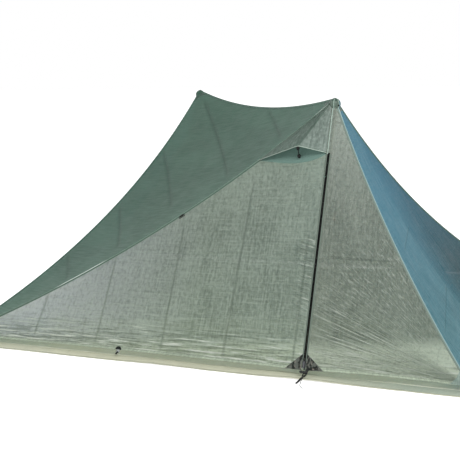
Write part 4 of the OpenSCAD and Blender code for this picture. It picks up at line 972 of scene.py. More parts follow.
PATCH_DARK = laminate("reinforcement", paint(60, 84, 73), paint(43, 62, 54), through=0.05, see=0.0, gloss=0.2,
                      crinkle=0.4)
PATCH_PALE = laminate("corner_cloth", paint(138, 156, 146), paint(104, 122, 114), through=0.2, see=0.0,
                      crinkle=0.5)
PATCH_GREY = mottled("pale_patch")
FOOT_PATCH = {"keep_off": ZIP_EDGE - 0.001, "rise": 0.0030, "hollow": 0.0}
for name, material, node, reach, corners in (
        ("peak_patch", PATCH_DARK, ("peak_patches",), 0.085,
         ((K_ROOF, 0), (K_ROOF, 1), (K_ROOF_REAR, 0), (K_ROOF_REAR, 1), (K_END, 0), (K_END_LEFT, 0))),
        ("peak_patch_side", PATCH_PALE, (), 0.07, ((K_SIDE, 0), (K_SIDE_REAR, 0))),
        ("corner_patch", PATCH_DARK, ("corner_patches",), 0.09,
         ((K_ROOF, 2), (K_ROOF_REAR, 2), (K_END, 1), (K_END, 2), (K_END_LEFT, 1), (K_END_LEFT, 2))),
        ("corner_patch_low", PATCH_PALE, (), 0.09,
         ((K_SIDE, 2), (K_SIDE_REAR, 2), (K_DOOR, 1), (K_DOOR_REAR, 1)))):
    parts = [patch_part(k, corner, reach, reach) for k, corner in corners]
    joined(name, parts, (material,), "shelter", node)
foot_parts = [patch_part(k, 1, 0.090, 0.080, **FOOT_PATCH) for k in (K_SIDE, K_SIDE_REAR)]
joined("foot_patch_side", foot_parts, (PATCH_GREY,), "shelter", ("foot_patches",))
for side, k in (("front", K_DOOR), ("rear", K_DOOR_REAR)):
    parts = [patch_part(k, 2, 0.080, 0.086, **FOOT_PATCH)]
    joined("foot_patch_" + side, parts, (PATCH_GREY,), "door_" + side, ())

# %% [markdown]
# ## Tubes, straps and cords
# A round or flat thing that follows a line is one cross-section carried along a path. At each point
# of the path the cross-section is turned to face along it, with one direction kept as its up.

# %% Sweeps
def smooth_path(knots, count):
    """Catmull-Rom curve through the knots, sampled at count points of even spacing."""
    p = np.asarray(knots, float)
    ext = np.vstack([2 * p[0] - p[1], p, 2 * p[-1] - p[-2]])
    t = np.linspace(0, len(p) - 1, 40 * len(p))
    i = np.minimum(t.astype(int), len(p) - 2)
    f = (t - i)[:, None]
    a, b, c, d = ext[i], ext[i + 1], ext[i + 2], ext[i + 3]
    fine = 0.5 * (2 * b + (c - a) * f + (2 * a - 5 * b + 4 * c - d) * f ** 2
                  + (3 * b - a - 3 * c + d) * f ** 3)
    run = lengths(fine)
    s = np.linspace(0, run[-1], count)
    return np.stack([np.interp(s, run, fine[:, n]) for n in range(3)], 1)


def oval(width, height, count=12, square=2.0):
    """Closed outline of an oval; square above 2 makes it a rounded rectangle (a superellipse)."""
    t = np.linspace(0, 2 * np.pi, count, endpoint=False)
    c, s = np.cos(t), np.sin(t)
    return np.stack([np.sign(c) * np.abs(c) ** (2 / square) * width / 2,
                     np.sign(s) * np.abs(s) ** (2 / square) * height / 2], 1)


def sweep(path, outline, up, closed=False, size=None, slot=0):
    """Tube: outline (across, up) carried along path. size gives a scale for every point of the path.
    An open tube is closed by a cap at each end: a ring drawn in to the middle point."""
    path = np.asarray(path, float)
    n, m = len(path), len(outline)
    if closed:
        tangent = unit(np.roll(path, -1, 0) - np.roll(path, 1, 0))
    else:
        tangent = unit(np.gradient(path, axis=0))
    up = np.broadcast_to(np.asarray(up, float), path.shape)
    across = unit(np.cross(tangent, up))
    upward = np.cross(across, tangent)
    scale = np.ones(n) if size is None else np.asarray(size, float)
    ring = outline[None] * scale[:, None, None]
    points = path[:, None] + ring[..., :1] * across[:, None] + ring[..., 1:] * upward[:, None]
    run = lengths(path)
    round_way = np.arange(m) / m * np.abs(outline).max() * 6
    uv = np.stack(np.broadcast_arrays(run[:, None], round_way[None]), -1).reshape(-1, 2)
    points = points.reshape(-1, 3)
    faces = grid_faces(n, m, True)
    c = np.arange(m)
    d = (c + 1) % m
    if closed:
        last = (n - 1) * m
        faces = np.concatenate([faces, np.stack([last + c, c, d, last + d], 1)])
        return points, faces[:, ::-1], uv, slot
    base = len(points)
    points = np.vstack([points, path[0], path[-1]])
    uv = np.vstack([uv, [0, 0], [run[-1], 0]])
    first = np.stack([np.full(m, base), c, d], 1)
    last = np.stack([np.full(m, base + 1), (n - 1) * m + d, (n - 1) * m + c], 1)
    return points, np.concatenate([halves(faces), first, last])[:, ::-1], uv, slot


def outward(part):
    """The part with its closed surface facing out: turned round if the volume inside it is negative."""
    points, faces, uv, slot = part
    faces = halves(faces)
    p = points[faces]
    volume = np.einsum("ij,ij->i", p[:, 0], np.cross(p[:, 1], p[:, 2])).sum()
    return points, faces if volume > 0 else faces[:, ::-1], uv, slot


def frame_at(origin, way, top):
    """Moves points drawn along +X with +Z up to origin, with X along way and Z as near top as it can be."""
    x = unit(way)
    y = unit(np.cross(top, x))
    z = np.cross(x, y)
    return lambda p: origin + np.asarray(p) @ np.stack([x, y, z])


def piece_of(name, parts, materials, body, replaced):
    """One object from several closed parts."""
    return joined(name, [outward(p) for p in parts], materials, body, replaced)


# %% [markdown]
# ### Webbing, moulded plastic and braid
# Webbing is ribs across a band, moulded plastic a fine dull grain, and braid two crossed spirals. Each
# is a bump and a small change of colour, driven by the piece's own map, so it turns with every bend.

# %% Strap, plastic and cord finishes
def webbing(name, colour, rib=0.0012):
    """Woven strap: ribs across it every rib metres along u, with a paler crown on each, a painted highlight.
    """
    material, uv = new_material(name)
    u, v = uv.parts()
    turn = 2 * math.pi / rib
    weave = (u * turn).math("SINE") + (v * (turn * 0.7)).math("SINE") * 0.6
    body = weave.ranged(-1, 1.4, 0, 1).mix(colour, tinted(colour, 1.5, 0.01))
    body.skin((weave * 0.00012).bump(0.9), 0.7).finish()
    return material


def plastic(name, colour, rough=0.42, gloss=0.3):
    """Moulded plastic: a fine grain in its gloss and height, and slightly paler rubbed areas."""
    material, spot = new_material(name, False)
    grain = spot.noise(1800.0, 2.0)
    body = spot.noise(90.0, 3.0).ranged(0.5, 0.72, 0, 1).mix(colour, tinted(colour, 1.25, 0.012))
    body.skin((grain * 0.00008).bump(0.6), grain.ranged(0.3, 0.7, rough - 0.06, rough + 0.08), gloss).finish()
    return material


def braid(name, colour, tracer, pitch=0.004):
    """Braided cord: two crossed spirals of strands over u and v of its map, with darker tracer strands."""
    material, uv = new_material(name)
    u, v = uv.parts()
    along, around = u * (2 * math.pi / pitch), v * (2 * math.pi / 0.0025)
    weave = (along + around).math("SINE").math("MAXIMUM", (along - around).math("SINE"))
    dark = (along * 0.5).math("SINE").math("GREATER_THAN", 0.86) * 0.8
    dark.mix(colour, tracer).skin((weave * 0.0002).bump(0.9), 0.65).finish()
    return material


BLACK_WEB = webbing("webbing", paint(20, 21, 21))
GREY_WEB = webbing("grey_webbing", paint(128, 134, 130))
BLACK_PLASTIC = plastic("black_plastic", paint(17, 18, 18), 0.42, 0.2)
GUY_CORD = braid("cord", paint(34, 44, 39), paint(18, 24, 21))
print("finishes", [m.name for m in (BLACK_WEB, GREY_WEB, BLACK_PLASTIC, GUY_CORD)])

# %% [markdown]
# ## Cord tail at the door's foot
# The guy cord is pulled through the buckle below the zip, and only its tail is free. It drops from the
# buckle to the ground and lies there. It is a tube swept along a smooth curve through a few knots.

# %% Cord tail
CORD_KNOTS = np.array([
    [568, -1086, 19], [568, -1092, 17.5], [568, -1098, 15.5], [568, -1104, 13], [568, -1110, 10.5],
    [568, -1116, 8], [568.5, -1122, 5.6], [569, -1128, 3.9], [570, -1134, 3], [571, -1140, 2.8],
    [572.5, -1146, 2.8], [575, -1153, 2.8], [578, -1159, 2.8], [582, -1165, 2.8], [587, -1172, 2.8],
    [592, -1179, 2.8], [597, -1186, 2.8]]) / 1000
cord_path = smooth_path(CORD_KNOTS, 90)
cord_ends = np.ones(90)
cord_ends[-3:] = (0.97, 0.9, 0.7)
cord_tube = sweep(cord_path, oval(0.0025, 0.0025, 12), [1, 0, 0], size=cord_ends)
cord_tail = piece_of("cord_tail", [cord_tube], (GUY_CORD,), "shelter", ("foot_cord",))

# %% [markdown]
# ## Buckles on webbing tabs
# Each corner and each door foot ends in a short tab of webbing sewn round the bar of a ladder buckle.
# The buckle is a closed frame with one more bar across it; bars and frame are swept ovals, and the tab
# is a flat oval that goes out, round the bar, and back.

# %% Buckles
TAB_L, BUCKLE_L, BUCKLE_W = 0.022, 0.034, 0.020


def rounded_loop(x0, x1, wide0, wide1, corner=0.004, count=12):
    """Closed outline in the XY plane from x0 to x1, wide0 and wide1 across at its two ends."""
    t = np.linspace(0, np.pi / 2, count)
    parts = []
    for x, y, turn in ((x1, wide1 / 2, 0), (x0, wide0 / 2, 1), (x0, -wide0 / 2, 2), (x1, -wide1 / 2, 3)):
        cx, cy = x - math.copysign(corner, x - (x0 + x1) / 2), y - math.copysign(corner, y)
        a = t + turn * np.pi / 2
        parts.append(np.stack([cx + corner * np.cos(a), cy + corner * np.sin(a), 0 * a], 1))
    return np.concatenate(parts)


def buckle_parts(origin, way, top, taper=0.82):
    """Frame, two bars and the webbing tab with its bar-tack, as parts placed along way."""
    put = frame_at(origin, way, top)
    x0 = TAB_L - 0.005
    loop = rounded_loop(x0 + 0.002, x0 + BUCKLE_L - 0.002, BUCKLE_W - 0.004, (BUCKLE_W - 0.004) * taper)
    up = unit(put([0, 0, 1]) - put([0, 0, 0]))
    parts = [sweep(put(loop), oval(0.0040, 0.0052, 12, 3.0), up, closed=True, slot=1)]
    for share, thick in ((0.30, 0.0042), (0.66, 0.0034)):
        x = x0 + BUCKLE_L * share
        half = (BUCKLE_W - 0.005) / 2 * (1 - (1 - taper) * share)
        bar = put(np.stack([np.full(9, x), np.linspace(-half, half, 9), np.zeros(9)], 1))
        parts.append(sweep(bar, oval(thick, 0.0036, 10, 2.6), up, slot=1))
    bar_x = x0 + 0.004
    t = np.linspace(-np.pi / 2, np.pi / 2, 9)
    out = np.linspace(0, bar_x, 14)
    fold = np.stack([bar_x + 0.0030 * np.cos(t), 0 * t, 0.0030 * np.sin(t)], 1)
    low = np.stack([out, 0 * out, -0.0008 - 0.0022 * smooth_step((out - bar_x + 0.012) / 0.012)], 1)
    high = np.stack([out, 0 * out, 0.0008 + 0.0022 * smooth_step((out - bar_x + 0.012) / 0.012)], 1)[::-1]
    strap = put(np.concatenate([low[:-1], fold, high[1:]]))
    side = unit(put([0, 1, 0]) - put([0, 0, 0]))
    tangent = unit(np.gradient(strap, axis=0))
    parts.append(sweep(strap, oval(0.0135, 0.0013, 16, 6.0), np.cross(side, tangent)))
    tack = put(np.stack([np.full(7, 0.008), np.linspace(-0.006, 0.006, 7), np.full(7, 0.0016)], 1))
    parts.append(sweep(tack, oval(0.0022, 0.0010, 8), up))
    return parts


corner_parts = []
for point in (CORNER_L, CORNER_R, CORNER_BL, CORNER_BR):
    flat = unit(np.array([point[0], point[1], 0]))
    start = point - 0.010 * flat - np.array([0, 0, CLOTH / 2 + 0.0003 + 0.0008])
    corner_parts += buckle_parts(start, flat - np.array([0, 0, 0.09]), [0, 0, 1])
piece_of("corner_buckles", corner_parts, (BLACK_WEB, BLACK_PLASTIC), "shelter", ("corner_adjusters",))
FOOT_TAB = FOOT + np.array([0.0193, -0.0009, 0.004])
FOOT_WAY = unit(np.array([-0.157, -1, -0.355]))
STAY = np.array([[573, -1060, 30], [562, -1058, 30.5], [552, -1056, 30], [546, -1052, 31]]) / 1000
STAY = smooth_path(STAY, 16)
LEVER = np.array([[569, -1100, 20], [565, -1112, 17], [559, -1126, 11], [552, -1138, 5.5]]) / 1000
LEVER = smooth_path(LEVER, 20)
foot_parts = []
for _, turn in SIDES:
    foot_parts += buckle_parts(turn(FOOT_TAB), turn(FOOT_WAY), [0, 0, 1], 0.72)
    foot_parts.append(sweep(turn(STAY), oval(0.0130, 0.0060, 14, 3.0), turn(unit([0, -0.42, 0.9]))))
    foot_parts.append(sweep(turn(LEVER), oval(0.0125, 0.0044, 14, 3.0), [0, 0, 1], slot=1,
                            size=np.linspace(1, 0.8, len(LEVER))))
piece_of("foot_buckles", foot_parts, (BLACK_WEB, BLACK_PLASTIC), "shelter", ("foot_adjusters",))

# %% [markdown]
# ## The zips
# A reverse-coil zip is a woven tape with a row of teeth wound from one filament. Winding every turn
# would cost far too many faces, so a coil is a half-round strip whose height rises and falls once for
# every tooth.

# %% Zip tapes and coils
TOOTH = 0.0022
SEEN = 0.0048


def zip_material(name, colour, edge):
    """Woven tape: dark in the middle, paler where it is bonded to the cloth beyond SEEN of the middle."""
    material, uv = new_material(name)
    grain = uv.streaks(900, 300, 2.0)
    body = uv.parts()[1].math("ABSOLUTE").ranged(SEEN, SEEN + 0.0015, 0, 1).mix(colour, edge)
    body = grain.ranged(0.35, 0.7, 0, 0.3).mix(body, paint(14, 15, 15))
    body.skin((grain * 0.00025).bump(0.7), 0.8, 0.04).finish()
    return material


ZIP_TAPE = zip_material("zip_tape", paint(9, 9, 10), paint(108, 120, 110))
ZIP_COIL = plastic("zip_coil", paint(10, 10, 11), 0.6, 0.05)


def zip_parts(turn, sign, low, high):
    """Tape and coil of one half of the zip between two distances from its foot, on side sign. The tape's
    folded edge covers the coil, as on a reverse-coil zip."""
    across = np.array([1.0, 0, 0])
    tooth_x, tape_w = 0.0023, 0.012
    place = lambda x, out, z: turn(FOOT + np.outer(x, across) + np.outer(out, ZIP_OUT) + np.outer(z, ZIP_UP))
    z = np.linspace(low, high, max(3, int((high - low) / 0.02)))
    x = np.array([0.0002, 0.0008, 0.0058, 0.0090, tape_w, tape_w, 0.0090, 0.0058, 0.0012, 0.0002])
    out = np.array([0.0012, 0.0017, 0.0012, 0.0006, -0.0002, -0.0006, -0.0004, 0.0003, 0.0011, 0.0008])
    zz, i = grid(z, np.arange(len(x)))
    tape = place(sign * x[i].ravel(), out[i].ravel(), zz.ravel())
    uv = np.stack([zz.ravel(), x[i].ravel()], -1)
    shell = (tape, grid_faces(len(z), len(x), True), uv, 0)
    z = np.arange(low + 0.0006, high - 0.0006, TOOTH / 4)
    zz, aa = grid(z, np.linspace(0, 2 * np.pi, 7)[:-1])
    r = 0.0013 * (0.72 + 0.28 * np.abs(np.sin(np.pi * zz / TOOTH)))
    coil = place((sign * tooth_x + r * np.cos(aa)).ravel(), (-0.0003 + r * np.sin(aa)).ravel(), zz.ravel())
    ring = (coil, grid_faces(len(z), 6, True), np.stack([zz.ravel(), aa.ravel() * 0.001], -1), 1)
    return [shell, ring]


ZIP_TOP, FOLD_Z = VENT * ZIP_L, FOLD * ZIP_L
for side, turn in SIDES:
    fixed = zip_parts(turn, 1, 0.002, ZIP_TOP) + zip_parts(turn, -1, FOLD_Z + 0.0032, ZIP_TOP)
    flap = zip_parts(turn, -1, 0.0424, FOLD_Z - 0.0032)
    for half, parts, body in (("fixed_", fixed, "shelter"), ("flap_", flap, "door_" + side)):
        piece_of("zip_" + half + side, parts, (ZIP_TAPE, ZIP_COIL), body,
                 ("zip_tape_" + half + side,))

# %% [markdown]
# ## Vent strut, toggles and hem ties
# Small hardware is what makes a shelter look sewn and rigged. The strut is a thin rod with a fat cup on
# each end; the toggle is a peg on an elastic loop; the hem tie is a half-round patch, a tab and a peg.

# %% Strut
THIN = 0.0001


def lathe(origin, axis, profile, sides=20, slot=0):
    """Surface of revolution: profile is (distance along the axis, radius), both ends at radius 0."""
    axis = unit(axis)
    x = unit(np.cross(axis, [0.31, 0.95, 0.05]))
    y = np.cross(axis, x)
    profile = np.asarray(profile, float)
    t = np.linspace(0, 2 * np.pi, sides, endpoint=False)
    ring = np.cos(t)[:, None] * x + np.sin(t)[:, None] * y
    points = origin + profile[:, None, :1] * axis + profile[:, None, 1:] * ring[None]
    run = lengths(profile)
    uv = np.stack(np.broadcast_arrays(run[:, None], (t * 0.01)[None]), -1).reshape(-1, 2)
    return points.reshape(-1, 3), grid_faces(len(profile), sides, True), uv, slot


def dome(z0, r0, z1, r1, count=7):
    """Quarter round from (z0, r0) to (z1, r1) as profile points."""
    t = np.linspace(0, np.pi / 2, count)
    return [(z0 + (z1 - z0) * (1 - math.cos(a)), r0 + (r1 - r0) * math.sin(a)) for a in t]


HOOD_RISE = CLOTH + 0.0006
STRUT_STAND = 0.0056
MID = (1 - VENT_CORNER) * W_VENT_SEAM + VENT_CORNER * W_VENT_ZIP
HOOD_CORNER = door_spot(*MID) + HOOD_RISE * N_DOOR + PUSH
STRUT_FOOT = door_spot(*(MID + STRUT_STAND / ZIP_L * np.array([-1, 0, 1]))) + STRUT_STAND * N_DOOR
STRUT_TIP = HOOD_CORNER - (CLOTH + 0.0005 + 0.003) * N_DOOR - 0.003 * DRAW_WAY
STRUT_GREY = plastic("strut_rod", paint(34, 34, 33), 0.5, 0.2)
EDGE_WAY = unit(door_spot(*W_VENT_ZIP) - door_spot(*W_VENT_SEAM))
for side, turn in SIDES:
    foot, tip = turn(STRUT_FOOT), turn(STRUT_TIP)
    way = tip - foot
    length = float(np.linalg.norm(way))
    low_cup = dome(-0.003, THIN, 0.003, 0.0078) + [(0.012, 0.0080)] + dome(0.0150, 0.0060, 0.018, 0.0026)
    high_cup = [(length - 0.018, 0.0040), (length - 0.014, 0.0074), (length - 0.004, 0.0074)]
    high_cup += dome(length, THIN, length - 0.0035, 0.0068)[::-1]
    rod = [(0.017, THIN), (0.0175, 0.0022), (length - 0.018, 0.0022), (length - 0.0175, THIN)]
    edge = turn(EDGE_WAY)
    pin = [(0, THIN), (0.0004, 0.0026), (0.0116, 0.0026), (0.012, THIN)]
    parts = [lathe(foot, way, low_cup + [(0.0184, THIN)]),
             lathe(foot, way, [(length - 0.0185, THIN)] + high_cup), lathe(foot, way, rod, 14, 1),
             lathe(foot - 0.006 * edge, edge, pin, 14)]
    piece_of("strut_" + side, parts, (BLACK_PLASTIC, STRUT_GREY), "strut_" + side, ("vent_strut_" + side,))

# %% Toggles and ties
def peg(middle, way, length, thick, slot=1):
    """Toggle peg: a round bar, waisted in the middle and rounded at both ends."""
    h, r = length / 2, thick / 2
    profile = dome(-h, 0.0001, -h + r * 0.8, r) + [(-h * 0.3, r * 0.86), (0, r * 0.66), (h * 0.3, r * 0.86)]
    profile += dome(h, 0.0001, h - r * 0.8, r)[::-1]
    return lathe(middle, way, profile, 16, slot)


TOGGLE_AT = 0.405
toggle_parts = []
for _, turn in SIDES:
    edge = 0.014 / heights(K_DOOR)[2]
    w0 = np.array([1 - TOGGLE_AT - edge, TOGGLE_AT, edge])
    w1 = w0 + 0.015 * np.array([-1, 1, 0])
    p, q = (door_spot(*w) + 0.002 * N_DOOR for w in (w0, w1))
    put = frame_at(p, q - p, N_DOOR)
    loop = rounded_loop(0.001, 0.033, 0.0055, 0.0055, 0.0026, 8) + np.array([0, 0, 0.0004])
    up = turn(N_DOOR)
    bar = put(np.linspace([0.0155, 0.002, 0.0016], [0.0185, -0.006, 0.0016], 5))
    toggle_parts += [sweep(turn(put(loop)), oval(0.0030, 0.0022, 8), up, closed=True),
                     peg(turn(put([[0.017, -0.0043, 0.0026]]))[0], turn(q - p), 0.022, 0.0075),
                     sweep(turn(bar), oval(0.0022, 0.0018, 8), up)]
piece_of("toggles", toggle_parts, (BLACK_WEB, BLACK_PLASTIC), "shelter", ("door_toggles",))


def hem_tie_parts(turn):
    """Half-round patch on the hem, a tab of grey webbing that hangs below it, and a peg through the tab.
    The patch is a fan of rings by rays: domed in front, flat behind, and closed round its rim."""
    rings, rays = 8, 25
    p = door_spot(0, 0.5, 0.5) + 0.0014 * N_DOOR
    x, y = unit(FOOT - CORNER_L), -N_DOOR
    z = np.cross(x, y)
    put = lambda q: turn(p + np.asarray(q) @ np.stack([x, y, z]))
    r, a = grid(np.linspace(0, 1, rings), np.linspace(0, np.pi, rays))
    depth = -0.0003 - 0.0020 * np.sqrt(1 - 0.96 * r ** 2)
    front = np.stack([0.015 * r * np.cos(a), depth, 0.001 + 0.016 * r * np.sin(a)], -1)
    behind = front * np.array([1, 0, 1]) + np.array([0, -0.0001, 0])
    disc = np.concatenate([front.reshape(-1, 3), behind.reshape(-1, 3)])
    cap = grid_faces(rings, rays)
    back = rings * rays
    round_edge = (rings - 1) * rays + np.arange(rays)
    straight_edge = np.concatenate([np.arange(rings - 1, -1, -1) * rays + rays - 1,
                                    np.arange(1, rings) * rays])
    walls = [np.stack([e[:-1], e[1:], e[1:] + back, e[:-1] + back], 1)[:, ::-1]
             for e in (round_edge, straight_edge)]
    faces = np.concatenate([cap, cap[:, ::-1] + back] + walls)
    down = np.linspace(0.0015, -0.0135, 12)
    path = np.stack([0 * down, -0.0018 - 0.0002 * np.sin(down * 300), down], 1)
    return [(put(disc), faces, disc[:, [0, 2]], 0),
            sweep(put(path), oval(0.017, 0.0014, 14, 5.0), turn(N_DOOR), slot=1),
            peg(put([[-0.004, -0.0030, -0.0150]])[0], turn(unit(0.7 * x + 0.7 * z)), 0.017, 0.0090, 2)]


for side, turn in SIDES:
    piece_of("tie_" + side, hem_tie_parts(turn), (PATCH_BLACK, GREY_WEB, BLACK_PLASTIC), "door_" + side,
             ("hem_tie_" + side,))

# %% [markdown]
# ## Peaks
# The cloth is drawn over a rounded cap, and below it a post carries the socket that takes the pole's
# tip. The cover is a dome whose foot follows the slopes of the panels around it.

# %% Peak covers
BALL = 0.023
BALL_Z = -0.0005 - BALL
COVER_ROWS, COVER_COLS, TOP_ROWS = 36, 120, 13
EDGE_WAYS = unit(np.stack([M_RIDGE, M_DOOR, M_ZIP, M_SIDE, M_END_R]) - PEAK)
PEAK_NORMALS = unit(np.cross(EDGE_WAYS, np.roll(EDGE_WAYS, -1, 0)))
PEAK_NORMALS = PEAK_NORMALS * np.sign(PEAK_NORMALS[:, 2:])


def cover_points(azimuth, share, lift=0.0):
    """Cover over a peak, seen from the middle of a ball under it. In each direction it lies at the
    larger of the ball's radius and the distance to the nearest of the five panels' planes, rounded by
    7 mm. share runs from the top (0) to where those planes are 47 mm away (1). Also gives the panel."""
    tilt = np.radians(np.linspace(0, 172, 345))
    middle = np.array([0, 0, BALL_Z])

    def reach(az, ti):
        """Distance to the nearest plane, and its number, in the directions az and ti."""
        d = np.stack([np.sin(ti) * np.cos(az), np.sin(ti) * np.sin(az), np.cos(ti)], -1)
        facing_it = d @ PEAK_NORMALS.T
        away = np.where(facing_it > 1e-6, -(PEAK_NORMALS @ middle) / np.maximum(facing_it, 1e-6), 9.0)
        return d, away.min(-1), away.argmin(-1)

    az, ti = grid(azimuth, tilt)
    last = (reach(az, ti)[1] < 0.047).sum(1)
    end = tilt[np.minimum(last, len(tilt) - 1)]
    az, s = grid(azimuth, share)
    d, away, which = reach(az, s * end[:, None])
    rim = 0.0022 * (1 - smooth_step((s - 0.9) / 0.1))
    t = 0.5 * (BALL + away + np.sqrt((BALL - away) ** 2 + 0.007 ** 2)) + rim + lift
    return middle + t[..., None] * d, which


def peak_cover(turn, end_cloth):
    """The cover's surface as one part: dark cloth on its top, then below it the tone of each panel, with
    the same painted light and shade as that panel, and the cloth of slot end_cloth over the end panel."""
    azimuth = np.linspace(0, 2 * np.pi, COVER_COLS, endpoint=False)
    points, which = cover_points(azimuth, np.linspace(0.0, 1, COVER_ROWS))
    points, which = points.transpose(1, 0, 2), which.T
    rim = np.array([5, 2, 2, end_cloth, 5])[which]
    cloth = np.where(np.arange(COVER_ROWS)[:, None] < TOP_ROWS, 0, rim)[:-1].ravel()
    uv = points[..., :2].reshape(-1, 2) + 0.3
    points = turn(PEAK + points.reshape(-1, 3))
    faces = facing(points, grid_faces(COVER_ROWS, COVER_COLS, True), np.array([0, 0, 1]))
    return points, faces, uv, cloth


def cover_trim(turn):
    """Two pale strips that meet on top of the peak, and the two black rivets beside them."""
    parts = []
    for way in (M_ZIP - PEAK, M_SIDE - PEAK):
        line = cover_points(np.array([math.atan2(way[1], way[0])]), np.linspace(0.16, 0.97, 26), 0.0005)[0][0]
        up = turn(unit(line - [0, 0, BALL_Z]))
        parts.append(sweep(turn(PEAK + line), oval(0.0044, 0.0016, 12), up, slot=3))
    for azimuth in np.radians([-158, -36]):
        spot = cover_points(np.array([azimuth]), np.array([0.74]))[0][0, 0]
        head = [(-0.001, THIN), (-0.001, 0.0046)] + dome(0.0026, THIN, 0.0004, 0.0046)[::-1]
        parts.append(lathe(turn(PEAK + spot), turn(unit(spot - [0, 0, BALL_Z])), head, 16, 4))
    return [outward(part) for part in parts]


# A paler cloth for the cover's flanks above door and side: painted light, as on those panels
COVER_PALE = laminate("cover_cloth", paint(98, 114, 103), paint(76, 92, 82), through=0.05, see=0.0, gloss=0.2,
                      crinkle=0.4)
POST = [(0.0012, THIN), (0.0012, 0.0015), (-0.036, 0.0015)]
CUP = [(-0.0365, 0.0040), (-0.038, 0.0070), (-0.040, 0.0079), (-0.0615, 0.0079), (-0.062, 0.0076),
       (-0.062, 0.0055), (-0.0425, 0.0054), (-0.042, THIN)]
cap_parts = []
for turn, end_cloth in ((same, 1), (half_turn, 5)):
    post = outward(lathe(turn(PEAK), [0, 0, 1], POST + CUP, 28, 4))
    cap_parts += [peak_cover(turn, end_cloth), post] + cover_trim(turn)
peak_caps = joined("peak_cover", cap_parts,
                   (PATCH_DARK, END_CLOTH, COVER_PALE, TRIM_CLOTH, BLACK_PLASTIC, ROOF_CLOTH),
                   "shelter", ("peak_caps",))
print("peak_cover", len(peak_caps.data.polygons), "faces")

# %% [markdown]
# ## The liner: tub and netting
# Inside the fly hangs a netting tent with a waterproof tub for a floor. The tub is one cloth: a floor
# that turns up into walls, with a hem along the top. A box would look like a tray, so the walls lean and
# dip a little between the corners, as cloth held at four points does.

# %% Tub
TUB_L, TUB_W, TUB_H, TUB_TURN = 2.120, 1.120, 0.095, math.radians(17)
TUB_Z, WALL_TOP = 0.0018, 0.0983


def on_tub(points):
    """Points drawn about the middle of the floor, turned by the tub's angle against the fly."""
    c, s = math.cos(TUB_TURN), math.sin(TUB_TURN)
    points = np.asarray(points, float)
    return np.stack([points[..., 0] * c - points[..., 1] * s, points[..., 0] * s + points[..., 1] * c,
                     points[..., 2]], -1)


def tub_floor_points(nx, ny):
    """Floor: a grid with shallow wrinkles that die out towards its edges."""
    u, v = grid(np.linspace(-1, 1, nx), np.linspace(-1, 1, ny))
    x, y = u * (TUB_L / 2 - 0.003), v * (TUB_W / 2 - 0.003)
    edge = smooth_step((1 - np.abs(u)) * 6) * smooth_step((1 - np.abs(v)) * 4)
    h = 0.0018 * (1 + ripples(x.ravel(), y.ravel(), 71, 3, 3).reshape(x.shape) * 0.5) * edge
    return np.stack([x, y, TUB_Z + 0.0004 + h], -1).reshape(-1, 3)


def tub_wall_points(n, rows):
    """Wall: a closed path round the floor (0 to 1) by a height (0 to 1). The path is a rounded
    rectangle; between corners the top dips by 6 mm and the wall bows in by 5 mm."""
    corner = 0.02
    path = rounded_loop(-TUB_L / 2 + 0.0006, TUB_L / 2 - 0.0006, TUB_W - 0.0012, TUB_W - 0.0012, corner, 6)
    path = np.vstack([path, path[:1]])
    run = lengths(path)
    s = np.linspace(0, run[-1], n, endpoint=False)
    x, y = np.interp(s, run, path[:, 0]), np.interp(s, run, path[:, 1])
    to_corner = np.minimum((TUB_L / 2 - np.abs(x)), 1.0) + np.minimum((TUB_W / 2 - np.abs(y)), 1.0)
    mid = smooth_step(to_corner / 0.35)
    h = np.linspace(0, 1, rows)[:, None]
    wave = 0.0016 * ripples(s, np.zeros(n), 72, 2.5, 1)[None] * np.sin(np.pi * h)
    draw = 1 - (0.005 * mid * np.sin(np.pi * h * 0.85) + 0.0012) / 0.56 - wave / 0.56
    z = TUB_Z + 0.0006 + h * (WALL_TOP - TUB_Z - 0.0012 - 0.006 * mid)
    points = np.stack([x * draw, y * draw, np.broadcast_to(z, draw.shape)], -1)
    uv = np.stack(np.broadcast_arrays(s[None], h * TUB_H), -1)
    return points.reshape(-1, 3), uv.reshape(-1, 2)


TUB_CLOTH = laminate("tub_cloth", paint(236, 240, 208), paint(222, 228, 192), through=0.12, see=0.0,
                     fibre=0.5, crinkle=0.3)
floor_points = tub_floor_points(120, 64)
tub_floor = make_mesh("tub_floor_cloth", on_tub(floor_points), grid_faces(120, 64)[:, ::-1],
                      floor_points[:, :2], (TUB_CLOTH,))
if tub_floor.data.polygons[0].normal.z < 0:
    tub_floor.data.flip_normals()
fasten(tub_floor, "shelter", ("tub_floor",))
wall_points, wall_uv = tub_wall_points(420, 14)
tub_wall = make_mesh("tub_wall_cloth", on_tub(wall_points), grid_faces(14, 420, True), wall_uv, (TUB_CLOTH,))
fasten(tub_wall, "shelter", ("tub_walls",))

# %% [markdown]
# ### Netting
# Fine netting is mostly holes. Drawing threads would be millions of faces, so the material is clear
# except on two sets of thin lines; from far away that reads as a grey veil.

# %% Netting panels
def netting(name, thread, cell=0.0016, cover=0.34):
    """Clear cloth with threads every cell metres both ways; cover is the share of a cell that is thread."""
    material, uv = new_material(name)
    lines = [s.math("DIVIDE", cell).math("FRACT").math("LESS_THAN", cover * 0.5) for s in uv.parts()]
    tone = uv.streaks(30, 30, 4.0).mix(thread, tinted(thread, 0.9))
    skin = uv.node("BsdfPrincipled", {"Base Color": tone, "Roughness": 0.7})
    clear = uv.node("BsdfTransparent", {})
    uv.node("MixShader", {0: lines[0].math("MAXIMUM", lines[1]), 1: clear, 2: skin}).finish()
    return material


NETTING = netting("netting", paint(40, 46, 44), cover=0.5)
